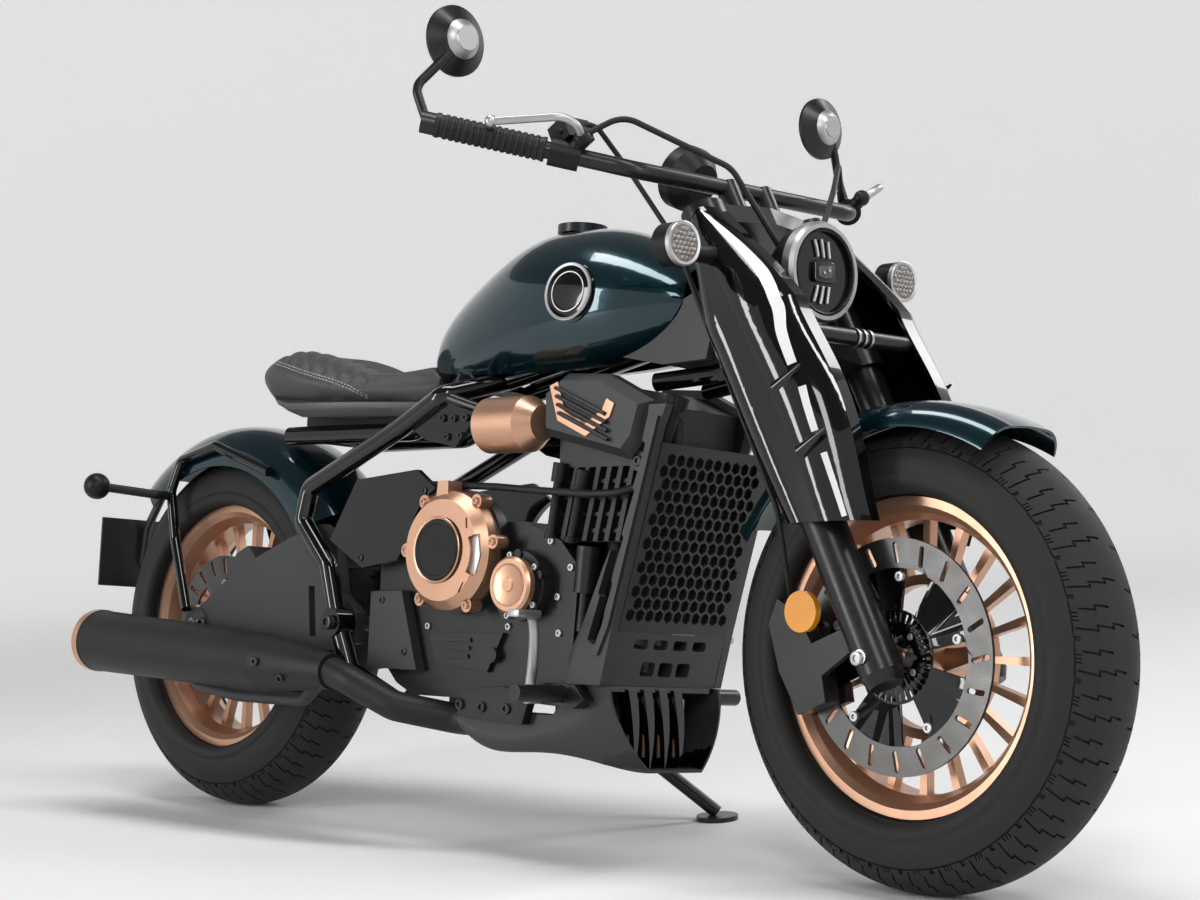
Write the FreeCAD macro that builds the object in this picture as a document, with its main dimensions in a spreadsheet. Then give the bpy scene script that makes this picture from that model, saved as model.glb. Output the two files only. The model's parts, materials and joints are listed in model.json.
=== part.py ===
import FreeCAD, Part
import math
import os
import re

import Sketcher
from FreeCAD import Placement, Rotation, Vector

# A cruiser motorcycle that leans on its side stand, in millimetres.
# It is modelled upright: X forward, Y to the rider's left, Z up, with the origin on the ground
# under the rear axle.  What steers is modelled in the fork's own frame: its origin is the front
# axle, Z runs up the fork legs and X points forward, square to them.  What turns with a wheel
# has its origin at the wheel's centre.  The last section leans and places every piece.

SIZES = {
    # stance
    "wheelbase": 1490, "tyre_radius": 320, "rake_angle": 28, "axis_offset": 45,
    "steer_angle": -4, "lean_angle": 8, "tail_reach": 364,
    # clearances
    "pin_gap": 0.05, "seat_gap": 0.3,
    # wheels
    "front_crown": 74.5, "rear_crown": 80, "rim_edge": 217, "bead_radius": 200,
    "front_rim_half": 49, "rear_rim_half": 55, "rim_lip": 5, "well_radius": 186,
    "spoke_count": 20, "spoke_width": 7, "spoke_depth": 16, "ring_outer": 112, "ring_inner": 98,
    "hub_radius": 34, "arm_count": 5, "arm_width": 22, "axle_radius": 10,
    "disc_radius": 160, "disc_inner": 120, "disc_thick": 5, "disc_offset": 68,
    "disc_slots": 20, "front_hub_left": 60,
    "abs_radius": 64, "abs_inner": 46, "abs_thick": 2, "abs_slots": 36,
    "rear_disc_radius": 125, "rear_disc_offset": 66,
    "sprocket_radius": 98, "sprocket_offset": 93, "sprocket_thick": 7, "sprocket_teeth": 36,
    # fork
    "leg_spacing": 112, "slider_radius": 30.4, "slider_top": 332, "tube_radius": 26,
    "clamp_low": 462, "clamp_high": 690, "clamp_thick": 30, "stem_radius": 15,
    "clamp_front": 34, "cover_inner": 101, "cover_outer": 164, "cover_wall": 7,
    "front_axle_half": 146,
    "lamp_ahead": 83, "lamp_height": 574, "lamp_radius": 74, "glass_radius": 62,
    "lamp_depth": 80, "bar_radius": 12, "lamp_bar_ahead": 93, "lamp_bar_height": 454,
    "handlebar_radius": 12.7, "bar_height": 770, "bar_sweep_x": -134, "bar_half": 449,
    "bar_end_height": 905, "grip_half": 330, "grip_x": -57.5, "grip_height": 829,
    "grip_radius": 18, "mirror_radius": 52, "mirror_x": -87, "mirror_y": 400,
    "mirror_height": 1031, "signal_radius": 31, "signal_x": 33, "signal_y": 239,
    "signal_height": 620, "dial_radius": 50, "dial_x": -82, "dial_height": 851,
    "fender_front_radius": 349, "fender_front_half": 81.4, "fender_wall": 3,
    # frame and swing arm
    "head_radius": 30, "head_bottom": 495, "head_top": 687, "rail_radius": 16,
    "rail_half": 144, "cradle_half": 45, "cradle_radius": 14, "cradle_height": 186,
    "backbone_half": 38,
    "arm_inner": 104, "arm_outer": 124, "pivot_x": 412, "pivot_height": 332,
    "pivot_radius": 20, "rear_axle_half": 138,
    # engine
    "case_half": 105, "clutch_x": 674, "clutch_height": 452, "clutch_radius": 94,
    "clutch_face": 165, "pump_x": 815, "pump_height": 400, "pump_radius": 54,
    "pump_face": 150, "cap_face": 140, "cap_inner": 98, "canister_radius": 44,
    "stand_hub": 26, "stand_pin": 7,
    "drive_x": 508, "drive_height": 340, "drive_radius": 34,
    "belt_width": 12, "belt_thick": 6, "belt_gap": 0.5,
    "canister_y": 122, "canister_x": 727, "canister_height": 650, "canister_length": 118,
    # cooling and lower body
    "core_half": 116, "core_thick": 24, "core_length": 276, "core_x": 1024,
    "core_foot": 342, "core_rake": 14.4, "grille_thick": 7, "hex_pitch": 21, "hex_web": 4,
    "pan_half": 125, "pan_wall": 5, "pan_top": 255.7,
    # seat, tank and tail
    "badge_x": 905, "badge_height": 846, "badge_radius": 45, "cap_x": 792,
    "cap_height": 968, "cap_radius": 40, "tank_wall": 4, "fender_rear_radius": 365, "fender_rear_half": 98,
    "plate_width": 190, "plate_height": 130,
    # exhaust
    "muffler_y": -190, "muffler_radius": 55, "muffler_back": -206, "muffler_front": 293,
    "muffler_tail_height": 282, "muffler_nose_height": 260, "muffler_wall": 4, "muffler_cone": 165,
    "outlet_radius": 22, "pipe_radius": 27, "header_radius": 17,
    # stand
    "stand_x": 745, "stand_y": 152, "stand_height": 190, "foot_x": 880, "foot_y": 290,
    "stand_radius": 11, "foot_radius": 34, "foot_thick": 8,
}

doc = FreeCAD.newDocument("Cruiser")
sheet = doc.addObject("Spreadsheet::Sheet", "Sizes")
for row, (alias, amount) in enumerate(SIZES.items(), start=1):
    sheet.set(f"A{row}", alias)
    sheet.set(f"B{row}", str(amount))
    sheet.setAlias(f"B{row}", alias)
doc.recompute()


class SheetReader:
    """Reads one size of the sheet as a plain number."""

    def __getattr__(self, alias):
        return float(sheet.get(alias))


size = SheetReader()
nodes = []


def bind(obj, prop, rule):
    """Tie a property to a rule, in which the sheet's sizes are plain words."""
    words = re.sub(r"[a-z_]{3,}", lambda w: "Sizes." + w.group() if w.group() in SIZES else w.group(),
        str(rule))
    obj.setExpression(prop, words)


def keep(obj, name, group):
    """Note an object as one finished piece, with the group that places it."""
    obj.Label = name
    nodes.append((obj, name, group))
    return obj


def shape_piece(name, group, shape):
    """A piece whose form is set as one shape."""
    obj = doc.addObject("Part::Feature", name)
    obj.Shape = shape
    return keep(obj, name, group)


def new_body(name):
    body = doc.addObject("PartDesign::Body", name)
    body.Label = name
    return body


def new_sketch(body, name, role, shift=None):
    """A sketch on one of the body's own planes, moved along its normal by a rule."""
    sketch = body.newObject("Sketcher::SketchObject", name)
    plane = next(item for item in body.Origin.OriginFeatures if item.Role == role)
    sketch.AttachmentSupport = (plane, "")
    sketch.MapMode = "FlatFace"
    if shift is not None:
        bind(sketch, "AttachmentOffset.Base.z", shift)
    return sketch


def end_at(sketch, index, spot):
    """Which end of an edge, 1 or 2, lies at a spot."""
    return 1 if sketch.getPoint(index, 1).distanceToPoint(spot) < 1e-6 else 2


def draw_loop(sketch, corners, tied=True):
    """Draw a closed outline; a corner that starts with "via" is the middle of an arc."""
    ring = list(corners) + [corners[0]]
    start = Vector(*ring[0], 0)
    via = None
    edges, spots = [], []
    for corner in ring[1:]:
        if corner[0] == "via":
            via = Vector(*corner[1:], 0)
            continue
        stop = Vector(*corner, 0)
        edges.append(Part.Arc(start, via, stop) if via else Part.LineSegment(start, stop))
        spots.append(start)
        start = stop
        via = None
    drawn = sketch.addGeometry(edges)
    if tied:
        rules = []
        for before, after, spot in zip([drawn[-1]] + list(drawn[:-1]), drawn, spots):
            ends = (before, end_at(sketch, before, spot), after, end_at(sketch, after, spot))
            rules.append(Sketcher.Constraint("Coincident", *ends))
        sketch.addConstraint(rules)


def draw_circle(sketch, radius, x="0", y="0"):
    """Draw a circle whose radius and centre follow rules."""
    index = sketch.addGeometry(Part.Circle(Vector(1, 1, 0), Vector(0, 0, 1), 10))
    for kind, where, rule in (("Radius", (index,), radius), ("DistanceX", (-1, 1, index, 3), x),
                              ("DistanceY", (-1, 1, index, 3), y)):
        number = sketch.addConstraint(Sketcher.Constraint(kind, *where, 1.0))
        bind(sketch, f"Constraints[{number}]", rule)


def pad(body, name, sketch, length, both=False, back=False):
    feature = body.newObject("PartDesign::Pad", name)
    feature.Profile = sketch
    bind(feature, "Length", length)
    feature.SideType = "Symmetric" if both else "One side"
    feature.Reversed = back
    return feature


def pocket(body, name, sketch, length, both=True, back=False):
    feature = body.newObject("PartDesign::Pocket", name)
    feature.Profile = sketch
    bind(feature, "Length", length)
    feature.SideType = "Symmetric" if both else "One side"
    feature.Reversed = back
    return feature


def revolve(body, name, sketch, angle="360", axis="H_Axis"):
    feature = body.newObject("PartDesign::Revolution", name)
    feature.Profile = sketch
    feature.ReferenceAxis = (sketch, [axis])
    bind(feature, "Angle", angle)
    return feature


def polar(body, name, features, sketch, count):
    """Repeat features round the normal of a sketch."""
    feature = body.newObject("PartDesign::PolarPattern", name)
    feature.Originals = features
    feature.Axis = (sketch, ["N_Axis"])
    feature.Angle = 360
    bind(feature, "Occurrences", count)
    body.Tip = feature
    return feature


def bent_path(points, bend):
    """Straight runs that are joined by tangent arcs."""
    points = [Vector(*point) for point in points]
    edges = []
    start = points[0]
    for before, corner, after in zip(points, points[1:], points[2:]):
        inward = (before - corner).normalize()
        outward = (after - corner).normalize()
        half = inward.getAngle(outward) / 2
        reach = bend / math.tan(half)
        first = corner + inward * reach
        last = corner + outward * reach
        middle = corner + (inward + outward).normalize() * (bend / math.sin(half) - bend)
        edges.append(Part.LineSegment(start, first).toShape())
        edges.append(Part.Arc(first, middle, last).toShape())
        start = last
    edges.append(Part.LineSegment(start, points[-1]).toShape())
    return Part.Wire(edges)


def rod(points, radius, bend=60):
    """A round bar or tube, closed at its ends, along bent runs."""
    path = bent_path(points, bend)
    start = Vector(*points[0])
    along = Vector(*points[1]) - start
    ring = Part.Wire(Part.makeCircle(radius, start, along))
    return path.makePipeShell([ring], True, False)


def flip(shape):
    """The same shape on the bike's other side."""
    return shape.mirror(Vector(), Vector(0, 1, 0))


def slab(outline, low, high):
    """A flat plate: an outline of x and z, from one distance off the middle plane to another."""
    corners = [Vector(x, low, z) for x, z in outline]
    face = Part.Face(Part.makePolygon(corners + corners[:1]))
    return face.extrude(Vector(0, high - low, 0))


def round_bar(start, end, radius):
    """A cylinder between two points."""
    start = Vector(*start)
    along = Vector(*end) - start
    return Part.makeCylinder(radius, along.Length, start, along)


# Wheels

def tyre(name, group, crown, rim_half):
    """A tyre: round crown, side walls that pull in to the rim, flat beads in it."""
    top = size.tyre_radius
    seat = rim_half - size.rim_lip - 0.2
    lip_top = size.rim_edge + 1
    body = new_body(name)
    sketch = new_sketch(body, name + "_section", "YZ_Plane")
    draw_loop(sketch, [(-seat, size.bead_radius + 0.2), (seat, size.bead_radius + 0.2), (seat, lip_top),
        (rim_half + 2, lip_top + 4), ("via", crown - 5, top - crown - 22), (crown, top - crown),
        ("via", 0, top), (-crown, top - crown), ("via", -crown + 5, top - crown - 22),
        (-rim_half - 2, lip_top + 4), (-seat, lip_top)])
    revolve(body, name + "_round", sketch)
    return keep(body, name, group)


def rim(name, group, rim_half, hub_right, hub_left):
    """A cast wheel: rim, thin spokes to an inner ring, curved arms to the hub."""
    body = new_body(name)
    lip = rim_half - size.rim_lip
    sketch = new_sketch(body, name + "_section", "YZ_Plane")
    draw_loop(sketch, [
        (rim_half, size.rim_edge), (lip, size.rim_edge), (lip, size.bead_radius), (-lip, size.bead_radius),
        (-lip, size.rim_edge), (-rim_half, size.rim_edge), (-rim_half, size.rim_edge - 12),
        (-rim_half + 9, size.rim_edge - 21), (-24, size.well_radius), (24, size.well_radius),
        (rim_half - 9, size.rim_edge - 21), (rim_half, size.rim_edge - 12)])
    revolve(body, name + "_hoop", sketch)
    ring = new_sketch(body, name + "_ring_plan", "XZ_Plane")
    draw_circle(ring, "ring_outer")
    draw_circle(ring, "ring_inner")
    pad(body, name + "_ring", ring, "spoke_depth + 6", both=True)
    spoke = new_sketch(body, name + "_spoke_plan", "XZ_Plane")
    half = size.spoke_width / 2
    draw_loop(spoke, [
        (size.ring_outer - 3, -half - 1), (size.well_radius + 4, -half - 3),
        (size.well_radius + 4, half + 3), (size.ring_outer - 3, half + 1)])
    one = pad(body, name + "_spoke", spoke, "spoke_depth", both=True)
    polar(body, name + "_spokes", [one], spoke, "spoke_count")
    hub = new_sketch(body, name + "_hub_plan", "YZ_Plane")
    bore = size.axle_radius + size.pin_gap
    draw_loop(hub, [
        (-hub_right, bore), (-hub_right, size.hub_radius), (-hub_right + 14, size.hub_radius + 8),
        (hub_left - 14, size.hub_radius + 8), (hub_left, size.hub_radius), (hub_left, bore)])
    revolve(body, name + "_hub", hub)
    arm = new_sketch(body, name + "_arm_plan", "XZ_Plane")
    wide = size.arm_width / 2
    draw_loop(arm, [
        (size.hub_radius + 4, -wide - 8), ("via", 74, -wide + 4), (size.ring_inner + 3, -wide + 14),
        (size.ring_inner + 3, wide + 12), ("via", 72, wide + 5), (size.hub_radius + 4, wide + 2)])
    curved = pad(body, name + "_arm", arm, "spoke_depth + 12", both=True)
    polar(body, name + "_arms", [curved], arm, "arm_count")
    return keep(body, name, group)


def brake_disc(name, group, outer, offset, slots):
    """A slotted brake disc with a thin carrier that bolts to the hub's face."""
    body = new_body(name)
    ring = new_sketch(body, name + "_plan", "XZ_Plane", f"{offset} - disc_thick / 2")
    draw_circle(ring, outer)
    draw_circle(ring, "axle_radius + 6")
    pad(body, name + "_plate", ring, "disc_thick")
    slot = new_sketch(body, name + "_slot_plan", "XZ_Plane", offset)
    mid = (size.disc_radius + size.disc_inner) / 2 if outer == "disc_radius" else size.rear_disc_radius - 18
    draw_loop(slot, [(mid - 11, -4), ("via", mid - 15, 0), (mid - 11, 4), (mid + 11, 9),
        ("via", mid + 14, 4.5), (mid + 11, 1)])
    one = pocket(body, name + "_slot", slot, "disc_thick + 4")
    polar(body, name + "_slots", [one], slot, slots)
    window = new_sketch(body, name + "_window_plan", "XZ_Plane", offset)
    near, far = size.hub_radius + 14, (size.disc_inner if outer == "disc_radius"
        else size.rear_disc_radius - 40)
    draw_loop(window, [(near, -9), (far - 5, -24), ("via", far + 1, 0), (far - 5, 24), (near, 9)])
    hole = pocket(body, name + "_window", window, "disc_thick + 4")
    polar(body, name + "_windows", [hole], window, "arm_count")
    return keep(body, name, group)


def abs_ring(body):
    ring = new_sketch(body, "abs_plan", "XZ_Plane", "disc_offset + disc_thick / 2")
    draw_circle(ring, "abs_radius")
    draw_circle(ring, "axle_radius + 8")
    pad(body, "abs_plate", ring, "abs_thick")
    slot = new_sketch(body, "abs_slot_plan", "XZ_Plane", "disc_offset + disc_thick")
    draw_loop(slot, [(size.abs_inner + 2, -1.6), (size.abs_radius - 4, -2.2), (size.abs_radius - 4, 2.2),
        (size.abs_inner + 2, 1.6)])
    one = pocket(body, "abs_slot", slot, "abs_thick * 6")
    polar(body, "abs_slots_round", [one], slot, "abs_slots")


def sprocket():
    body = new_body("rear_sprocket")
    plan = new_sketch(body, "sprocket_plan", "XZ_Plane", "-sprocket_offset + sprocket_thick / 2")
    draw_circle(plan, "sprocket_radius")
    draw_circle(plan, "axle_radius + 8")
    pad(body, "sprocket_plate", plan, "sprocket_thick", back=True)
    gap = new_sketch(body, "tooth_gap_plan", "XZ_Plane", "-sprocket_offset")
    draw_circle(gap, "sprocket_radius * 0.042", "sprocket_radius + 1")
    one = pocket(body, "tooth_gap", gap, "sprocket_thick * 3")
    polar(body, "tooth_gaps", [one], gap, "sprocket_teeth")
    return keep(body, "rear_sprocket", "rear_wheel")


tyre("front_tyre", "front_wheel", size.front_crown, size.front_rim_half)
tyre("rear_tyre", "rear_wheel", size.rear_crown, size.rear_rim_half)
front_face = size.disc_offset - size.disc_thick / 2
rear_face = size.rear_disc_offset - size.disc_thick / 2
rim("front_rim", "front_wheel", size.front_rim_half, front_face, size.front_hub_left)
rim("rear_rim", "rear_wheel", size.rear_rim_half, rear_face, size.sprocket_offset - size.sprocket_thick / 2)
front_disc = brake_disc("front_disc", "front_wheel", "disc_radius", "disc_offset", "disc_slots")
brake_disc("rear_disc", "rear_wheel", "rear_disc_radius", "rear_disc_offset", "disc_slots")
abs_ring(front_disc)
sprocket()


# Fork

def cross_shaft(name, group, radius, half, x="0", height="0"):
    """A plain shaft across the bike."""
    body = new_body(name)
    ring = new_sketch(body, name + "_ring", "XZ_Plane")
    draw_circle(ring, radius, x, height)
    pad(body, name + "_bar", ring, "2 * " + half, both=True)
    return keep(body, name, group)


def fork_legs():
    """Lower legs with the axle clamps, and the slimmer tubes that run up into the clamps."""
    low, high = size.slider_top, size.clamp_high + size.clamp_thick
    leg = round_bar((0, -size.leg_spacing, -26), (0, -size.leg_spacing, low), size.slider_radius)
    boot = Part.makeCone(size.slider_radius, size.slider_radius - 7, 16, Vector(0, -size.leg_spacing, -26),
        Vector(0, 0, -1))
    tube = round_bar((0, -size.leg_spacing, low), (0, -size.leg_spacing, high), size.tube_radius)
    bore = round_bar((0, -size.front_axle_half - 5, 0), (0, 0, 0), size.axle_radius + size.pin_gap)
    leg = leg.fuse([boot, tube]).cut(bore)
    return shape_piece("fork_legs", "fork", Part.makeCompound([leg, flip(leg)]))


def clamp_plate(low, thick, grow=0.0):
    """One fork clamp's flat outline with its two round ears, raised from a height."""
    back, out = -size.axis_offset - 26, size.leg_spacing + 18
    outline = [(back, -40), (back, 40), (-16, out), (16, out), (size.clamp_front, 0), (16, -out), (-16, -out)]
    corners = [Vector(x, y, low) for x, y in outline]
    ring = Part.makePolygon(corners + corners[:1])
    if grow:
        ring = ring.makeOffset2D(grow)
    plate = Part.Face(ring).extrude(Vector(0, 0, thick))
    ears = [Part.makeCylinder(size.tube_radius + 7 + grow, thick, Vector(0, side * size.leg_spacing, low))
        for side in (-1, 1)]
    return plate.fuse(ears)


def fork_clamps():
    """Upper and lower clamps round the fork tubes, on the stem that turns in the head."""
    gap = size.tube_radius + size.pin_gap
    plates = [clamp_plate(low, size.clamp_thick) for low in (size.clamp_low, size.clamp_high)]
    stem = Part.makeCylinder(size.stem_radius, size.clamp_high - size.clamp_low,
        Vector(-size.axis_offset, 0, size.clamp_low + 5))
    whole = plates[0].fuse([plates[1], stem])
    for side in (-1, 1):
        whole = whole.cut(Part.makeCylinder(gap, 400, Vector(0, side * size.leg_spacing,
            size.clamp_low - 50)))
    return shape_piece("fork_clamps", "fork", whole)


COVER_SECTIONS = ((150, -36, 80, 150), (220, -38, 92, 156), (328, -42, 113, 164), (428, -42, 110, 168),
    (505, -43, 106, 170), (560, -37, 88, 168), (616, -25, 66, 162), (680, -12, 40, 152), (716, 0, 26, 140))
COVER_CREASE = 4


def cover_section(height, rear, front, outer, inset):
    """A D-shaped section of a fork cover: flat inside, rounded to the outer side and the front."""
    inner = -size.cover_inner + 2 * bool(inset)
    rear, front, outer = rear + inset, front - inset, inset - outer

    def spot(along, out):
        return Vector(rear + along * (front - rear), inner + out * (outer - inner), height)

    edges = [
        Part.LineSegment(spot(0, 0), spot(0, 0.55)), Part.Arc(spot(0, 0.55), spot(0.07, 0.88), spot(0.28, 1)),
        Part.LineSegment(spot(0.28, 1), spot(0.5, 1)), Part.Arc(spot(0.5, 1), spot(0.86, 0.8), spot(1, 0.35)),
        Part.LineSegment(spot(1, 0.35), spot(1, 0)), Part.LineSegment(spot(1, 0), spot(0, 0))]
    return Part.Wire([edge.toShape() for edge in edges])


def cover_form(inset=0.0):
    """The cover's form in two halves that meet in a crease, or the same form drawn in by a wall."""
    rows = [list(row) for row in COVER_SECTIONS]
    if inset:
        rows[0][0] -= inset
        rows[-1][0] -= inset
    wires = [cover_section(*row, inset) for row in rows]
    low = Part.makeLoft(wires[:COVER_CREASE + 1], True, False)
    return low.fuse(Part.makeLoft(wires[COVER_CREASE:], True, False))


def fork_covers():
    """The tall gloss covers outside the fork tubes: hollow, open inside, with two fins each."""
    whole = cover_form()
    for height in (385, 285):
        root = Vector(46, -size.cover_outer + 2, height)
        whole = whole.fuse(Part.makeCone(11, 1.5, 54, root, Vector(1, -0.06, 0.1)))
    shell = whole.cut(cover_form(size.cover_wall))
    shell = shell.cut(slab([(-60, 230.7), (120, 143), (120, 80), (-60, 80)], -80, -200))
    leg = round_bar((0, -size.leg_spacing, 0), (0, -size.leg_spacing, size.clamp_high + 60),
        size.slider_radius + 2)
    shell = shell.cut(leg)
    for low in (size.clamp_low, size.clamp_high):
        shell = shell.cut(clamp_plate(low - 1, size.clamp_thick + 2, 1.0))
    return whole, shape_piece("fork_covers", "fork", Part.makeCompound([shell, flip(shell)]))


fork_legs()
fork_clamps()
cover_whole, _ = fork_covers()
cross_shaft("front_axle", "fork", "axle_radius", "front_axle_half")


def lamp():
    """Round headlamp: bowl, polished ring, glass face; level when the bike stands straight."""
    tilt = Rotation(Vector(0, 1, 0), 90 + size.rake_angle)
    centre = Vector(size.lamp_ahead, 0, size.lamp_height)
    level = Placement(centre, tilt)
    r, glass, depth = size.lamp_radius, size.glass_radius, size.lamp_depth
    bowl_line = [(0, -depth), (r * 0.55, -depth), (r * 0.9, -depth * 0.55), (r - 2, -26), (r - 2, -20),
        (0, -20)]
    bowl = Part.Face(Part.makePolygon([Vector(x, 0, z) for x, z in bowl_line + bowl_line[:1]])).revolve(
        Vector(), Vector(0, 0, 1), 360)
    ring_line = [(glass, -19.7), (r, -19.7), (r, -6), (r - 4, 0), (glass + 2, 0), (glass, -5)]
    ring = Part.Face(Part.makePolygon([Vector(x, 0, z) for x, z in ring_line + ring_line[:1]])).revolve(
        Vector(), Vector(0, 0, 1), 360)
    face = Part.makeCylinder(glass - 0.3, 12, Vector(0, 0, -19.7))
    for solid in (bowl, ring, face):
        solid.Placement = level
    post = round_bar((6, 0, size.clamp_low + size.clamp_thick + size.seat_gap),
        (6, 0, size.lamp_height - 10), 11)
    bowl = bowl.fuse(post)
    shape_piece("headlamp_bowl", "fork", bowl)
    shape_piece("headlamp_ring", "fork", ring)
    shape_piece("headlamp_glass", "fork", face)
    return bowl


lamp_shape = lamp()


def lamp_bar():
    half = size.cover_inner
    bar = round_bar((size.lamp_bar_ahead, -half, size.lamp_bar_height), (size.lamp_bar_ahead, half,
        size.lamp_bar_height), size.bar_radius)
    rings = [round_bar((size.lamp_bar_ahead, y - 3, size.lamp_bar_height), (size.lamp_bar_ahead, y + 3,
        size.lamp_bar_height), size.bar_radius + 1.5) for y in (-14, 0, 14)]
    return shape_piece("lamp_bar", "fork", bar.fuse(rings))


lamp_bar()


def handlebar():
    grip_start = Vector(size.grip_x, size.grip_half, size.grip_height)
    grip_end = Vector(size.bar_sweep_x, size.bar_half, size.bar_end_height)
    along = (grip_end - grip_start).normalize()
    elbow = grip_start - along * ((size.grip_height - size.bar_height) / along.z)
    mid = Vector(elbow.x, 0, size.bar_height)
    half = rod([mid, elbow, grip_end], size.handlebar_radius, 60)
    return half, grip_start, grip_end, along, mid


bar_half_shape, grip_start, grip_end, grip_along, bar_mid = handlebar()
riser_top = size.bar_height
risers = []
for side in (-1, 1):
    foot = Vector(bar_mid.x, side * 38, size.clamp_high + size.clamp_thick + size.seat_gap)
    risers.append(round_bar(foot, Vector(bar_mid.x, side * 38, riser_top + 6), 17))
shape_piece("handlebar", "fork", bar_half_shape.fuse([flip(bar_half_shape)] + risers))
grip = Part.makeCylinder(size.grip_radius, (grip_end - grip_start).Length, grip_start, grip_along)
grip = grip.cut(Part.makeCylinder(size.handlebar_radius + 0.05, 300, grip_start - grip_along * 20,
    grip_along))
shape_piece("grips", "fork", Part.makeCompound([grip, flip(grip)]))

perch_spot = grip_start - grip_along * 34
perch = Part.makeCylinder(21, 44, grip_start - grip_along * 50, grip_along)
perch = perch.fuse(Part.makeSphere(13, perch_spot + Vector(34, 0, 4)))
perch = perch.fuse(round_bar(perch_spot, perch_spot + Vector(34, 0, 4), 11))
perch = perch.cut(Part.makeCylinder(size.handlebar_radius + 0.05, 200, grip_start - grip_along * 100,
    grip_along))
lever_root = perch_spot + Vector(34, 0, 4)
lever_tip = grip_end + Vector(63, -44, -31)
lever = rod([lever_root, lever_root + Vector(27, 34, 14), lever_tip], 6, 30).fuse(Part.makeSphere(9,
    lever_tip)).cut(perch)
shape_piece("hand_levers", "fork", Part.makeCompound([lever, flip(lever)]))
pot = Part.makeBox(36, 50, 34, Vector(perch_spot.x - 10, -perch_spot.y - 14, perch_spot.z + 15))
bar_space = Part.makeCylinder(size.handlebar_radius + 0.05, 300, grip_start - grip_along * 150, grip_along)
pot = pot.cut(flip(bar_space))
shape_piece("lever_perches", "fork", Part.makeCompound([flip(perch).fuse(pot), perch]))

dial_axis = Vector(-math.sin(math.radians(40)), 0, math.cos(math.radians(40)))
dial_spot = Vector(size.dial_x, 0, size.dial_height)
dial = Part.makeCylinder(size.dial_radius, 22, dial_spot, dial_axis)
dial = dial.fuse(Part.makeCone(size.dial_radius * 0.6, size.dial_radius, 26, dial_spot - dial_axis * 26,
    dial_axis))
dial = dial.fuse(round_bar(dial_spot - dial_axis * 20, Vector(bar_mid.x - 4, 0, size.bar_height + 8), 9))
dial = dial.cut(round_bar(bar_mid - Vector(0, 60, 0), bar_mid + Vector(0, 60, 0),
    size.handlebar_radius + size.seat_gap))
shape_piece("instrument", "fork", dial)

mirror_spot = Vector(size.mirror_x, size.mirror_y, size.mirror_height)
mirror_look = Vector(-math.cos(math.radians(size.rake_angle)), 0, math.sin(math.radians(size.rake_angle)))
mirror = Part.makeCone(size.mirror_radius, 16, 24, mirror_spot, mirror_look * -1)
mirror = mirror.fuse(Part.makeCylinder(size.mirror_radius, 6, mirror_spot, mirror_look))
bar_tip = grip_end + grip_along * 12
mirror = mirror.fuse(rod([bar_tip, bar_tip + Vector(4, 4, 60), mirror_spot - mirror_look * 18], 7, 25))
mirror = mirror.fuse(Part.makeCylinder(16, 20, grip_end + grip_along * 0.3, grip_along))
shape_piece("mirrors", "fork", Part.makeCompound([mirror, flip(mirror)]))

signal_spot = Vector(size.signal_x, size.signal_y, size.signal_height)
signal_ahead = Vector(math.cos(math.radians(size.rake_angle)), 0, -math.sin(math.radians(size.rake_angle)))
signal = Part.makeCylinder(size.signal_radius, 34, signal_spot - signal_ahead * 20, signal_ahead)
signal = signal.fuse(Part.makeCone(size.signal_radius * 0.5, size.signal_radius, 12,
    signal_spot - signal_ahead * 32, signal_ahead))
stalk_x = size.signal_x - 12
stalk = round_bar((stalk_x, size.cover_inner + 20, size.signal_height),
    (stalk_x, size.signal_y, size.signal_height), 13)
signal = signal.fuse(stalk).cut(flip(cover_whole))
shape_piece("front_signals", "fork", Part.makeCompound([signal, flip(signal)]))


def cables():
    """Wiring from both grips into the lamp, and the brake hose down behind the right leg."""
    wire = rod([(-34, -292, 836), (22, -236, 850), (76, -112, 742), (50, -36, 628)], 4.5, 45)
    end_fitting = round_bar((-40, -298, 832), (-26, -284, 838), 6.5)
    wire = wire.fuse(end_fitting)
    hose = rod([(-30, -322, 842), (-12, -262, 858), (-50, -176, 812), (-52, -131, 700), (-52, -131, 250),
        (-132, -76, 140)], 4, 40)
    shapes = [wire, flip(wire), hose]
    return [shape.cut(lamp_shape).cut(perch).cut(flip(perch).fuse(pot)).cut(caliper_shape)
        for shape in shapes]


def partial_fender(name, group, outer, half, drop, sweep):
    """Part of a hoop round a wheel: a crowned band with short sides."""
    wall = size.fender_wall
    body = new_body(name)
    sketch = new_sketch(body, name + "_section", "YZ_Plane")
    draw_loop(sketch, [(-half, outer - drop), ("via", -half * 0.8, outer - drop * 0.3),
        (-half * 0.42, outer - drop * 0.05), ("via", 0, outer), (half * 0.42, outer - drop * 0.05),
        ("via", half * 0.8, outer - drop * 0.3), (half, outer - drop), (half - wall, outer - drop),
        ("via", half * 0.8 - wall, outer - drop * 0.3 - wall),
        (half * 0.42 - wall / 2, outer - drop * 0.05 - wall), ("via", 0, outer - wall),
        (-half * 0.42 + wall / 2, outer - drop * 0.05 - wall), ("via", -half * 0.8 + wall,
        outer - drop * 0.3 - wall), (-half + wall, outer - drop)])
    revolve(body, name + "_hoop", sketch, str(sweep))
    return keep(body, name, group)


partial_fender("front_fender", "front_fender", size.fender_front_radius, size.fender_front_half, 40, 88)
partial_fender("rear_fender", "rear_fender", size.fender_rear_radius, size.fender_rear_half, 80, 98)

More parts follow.
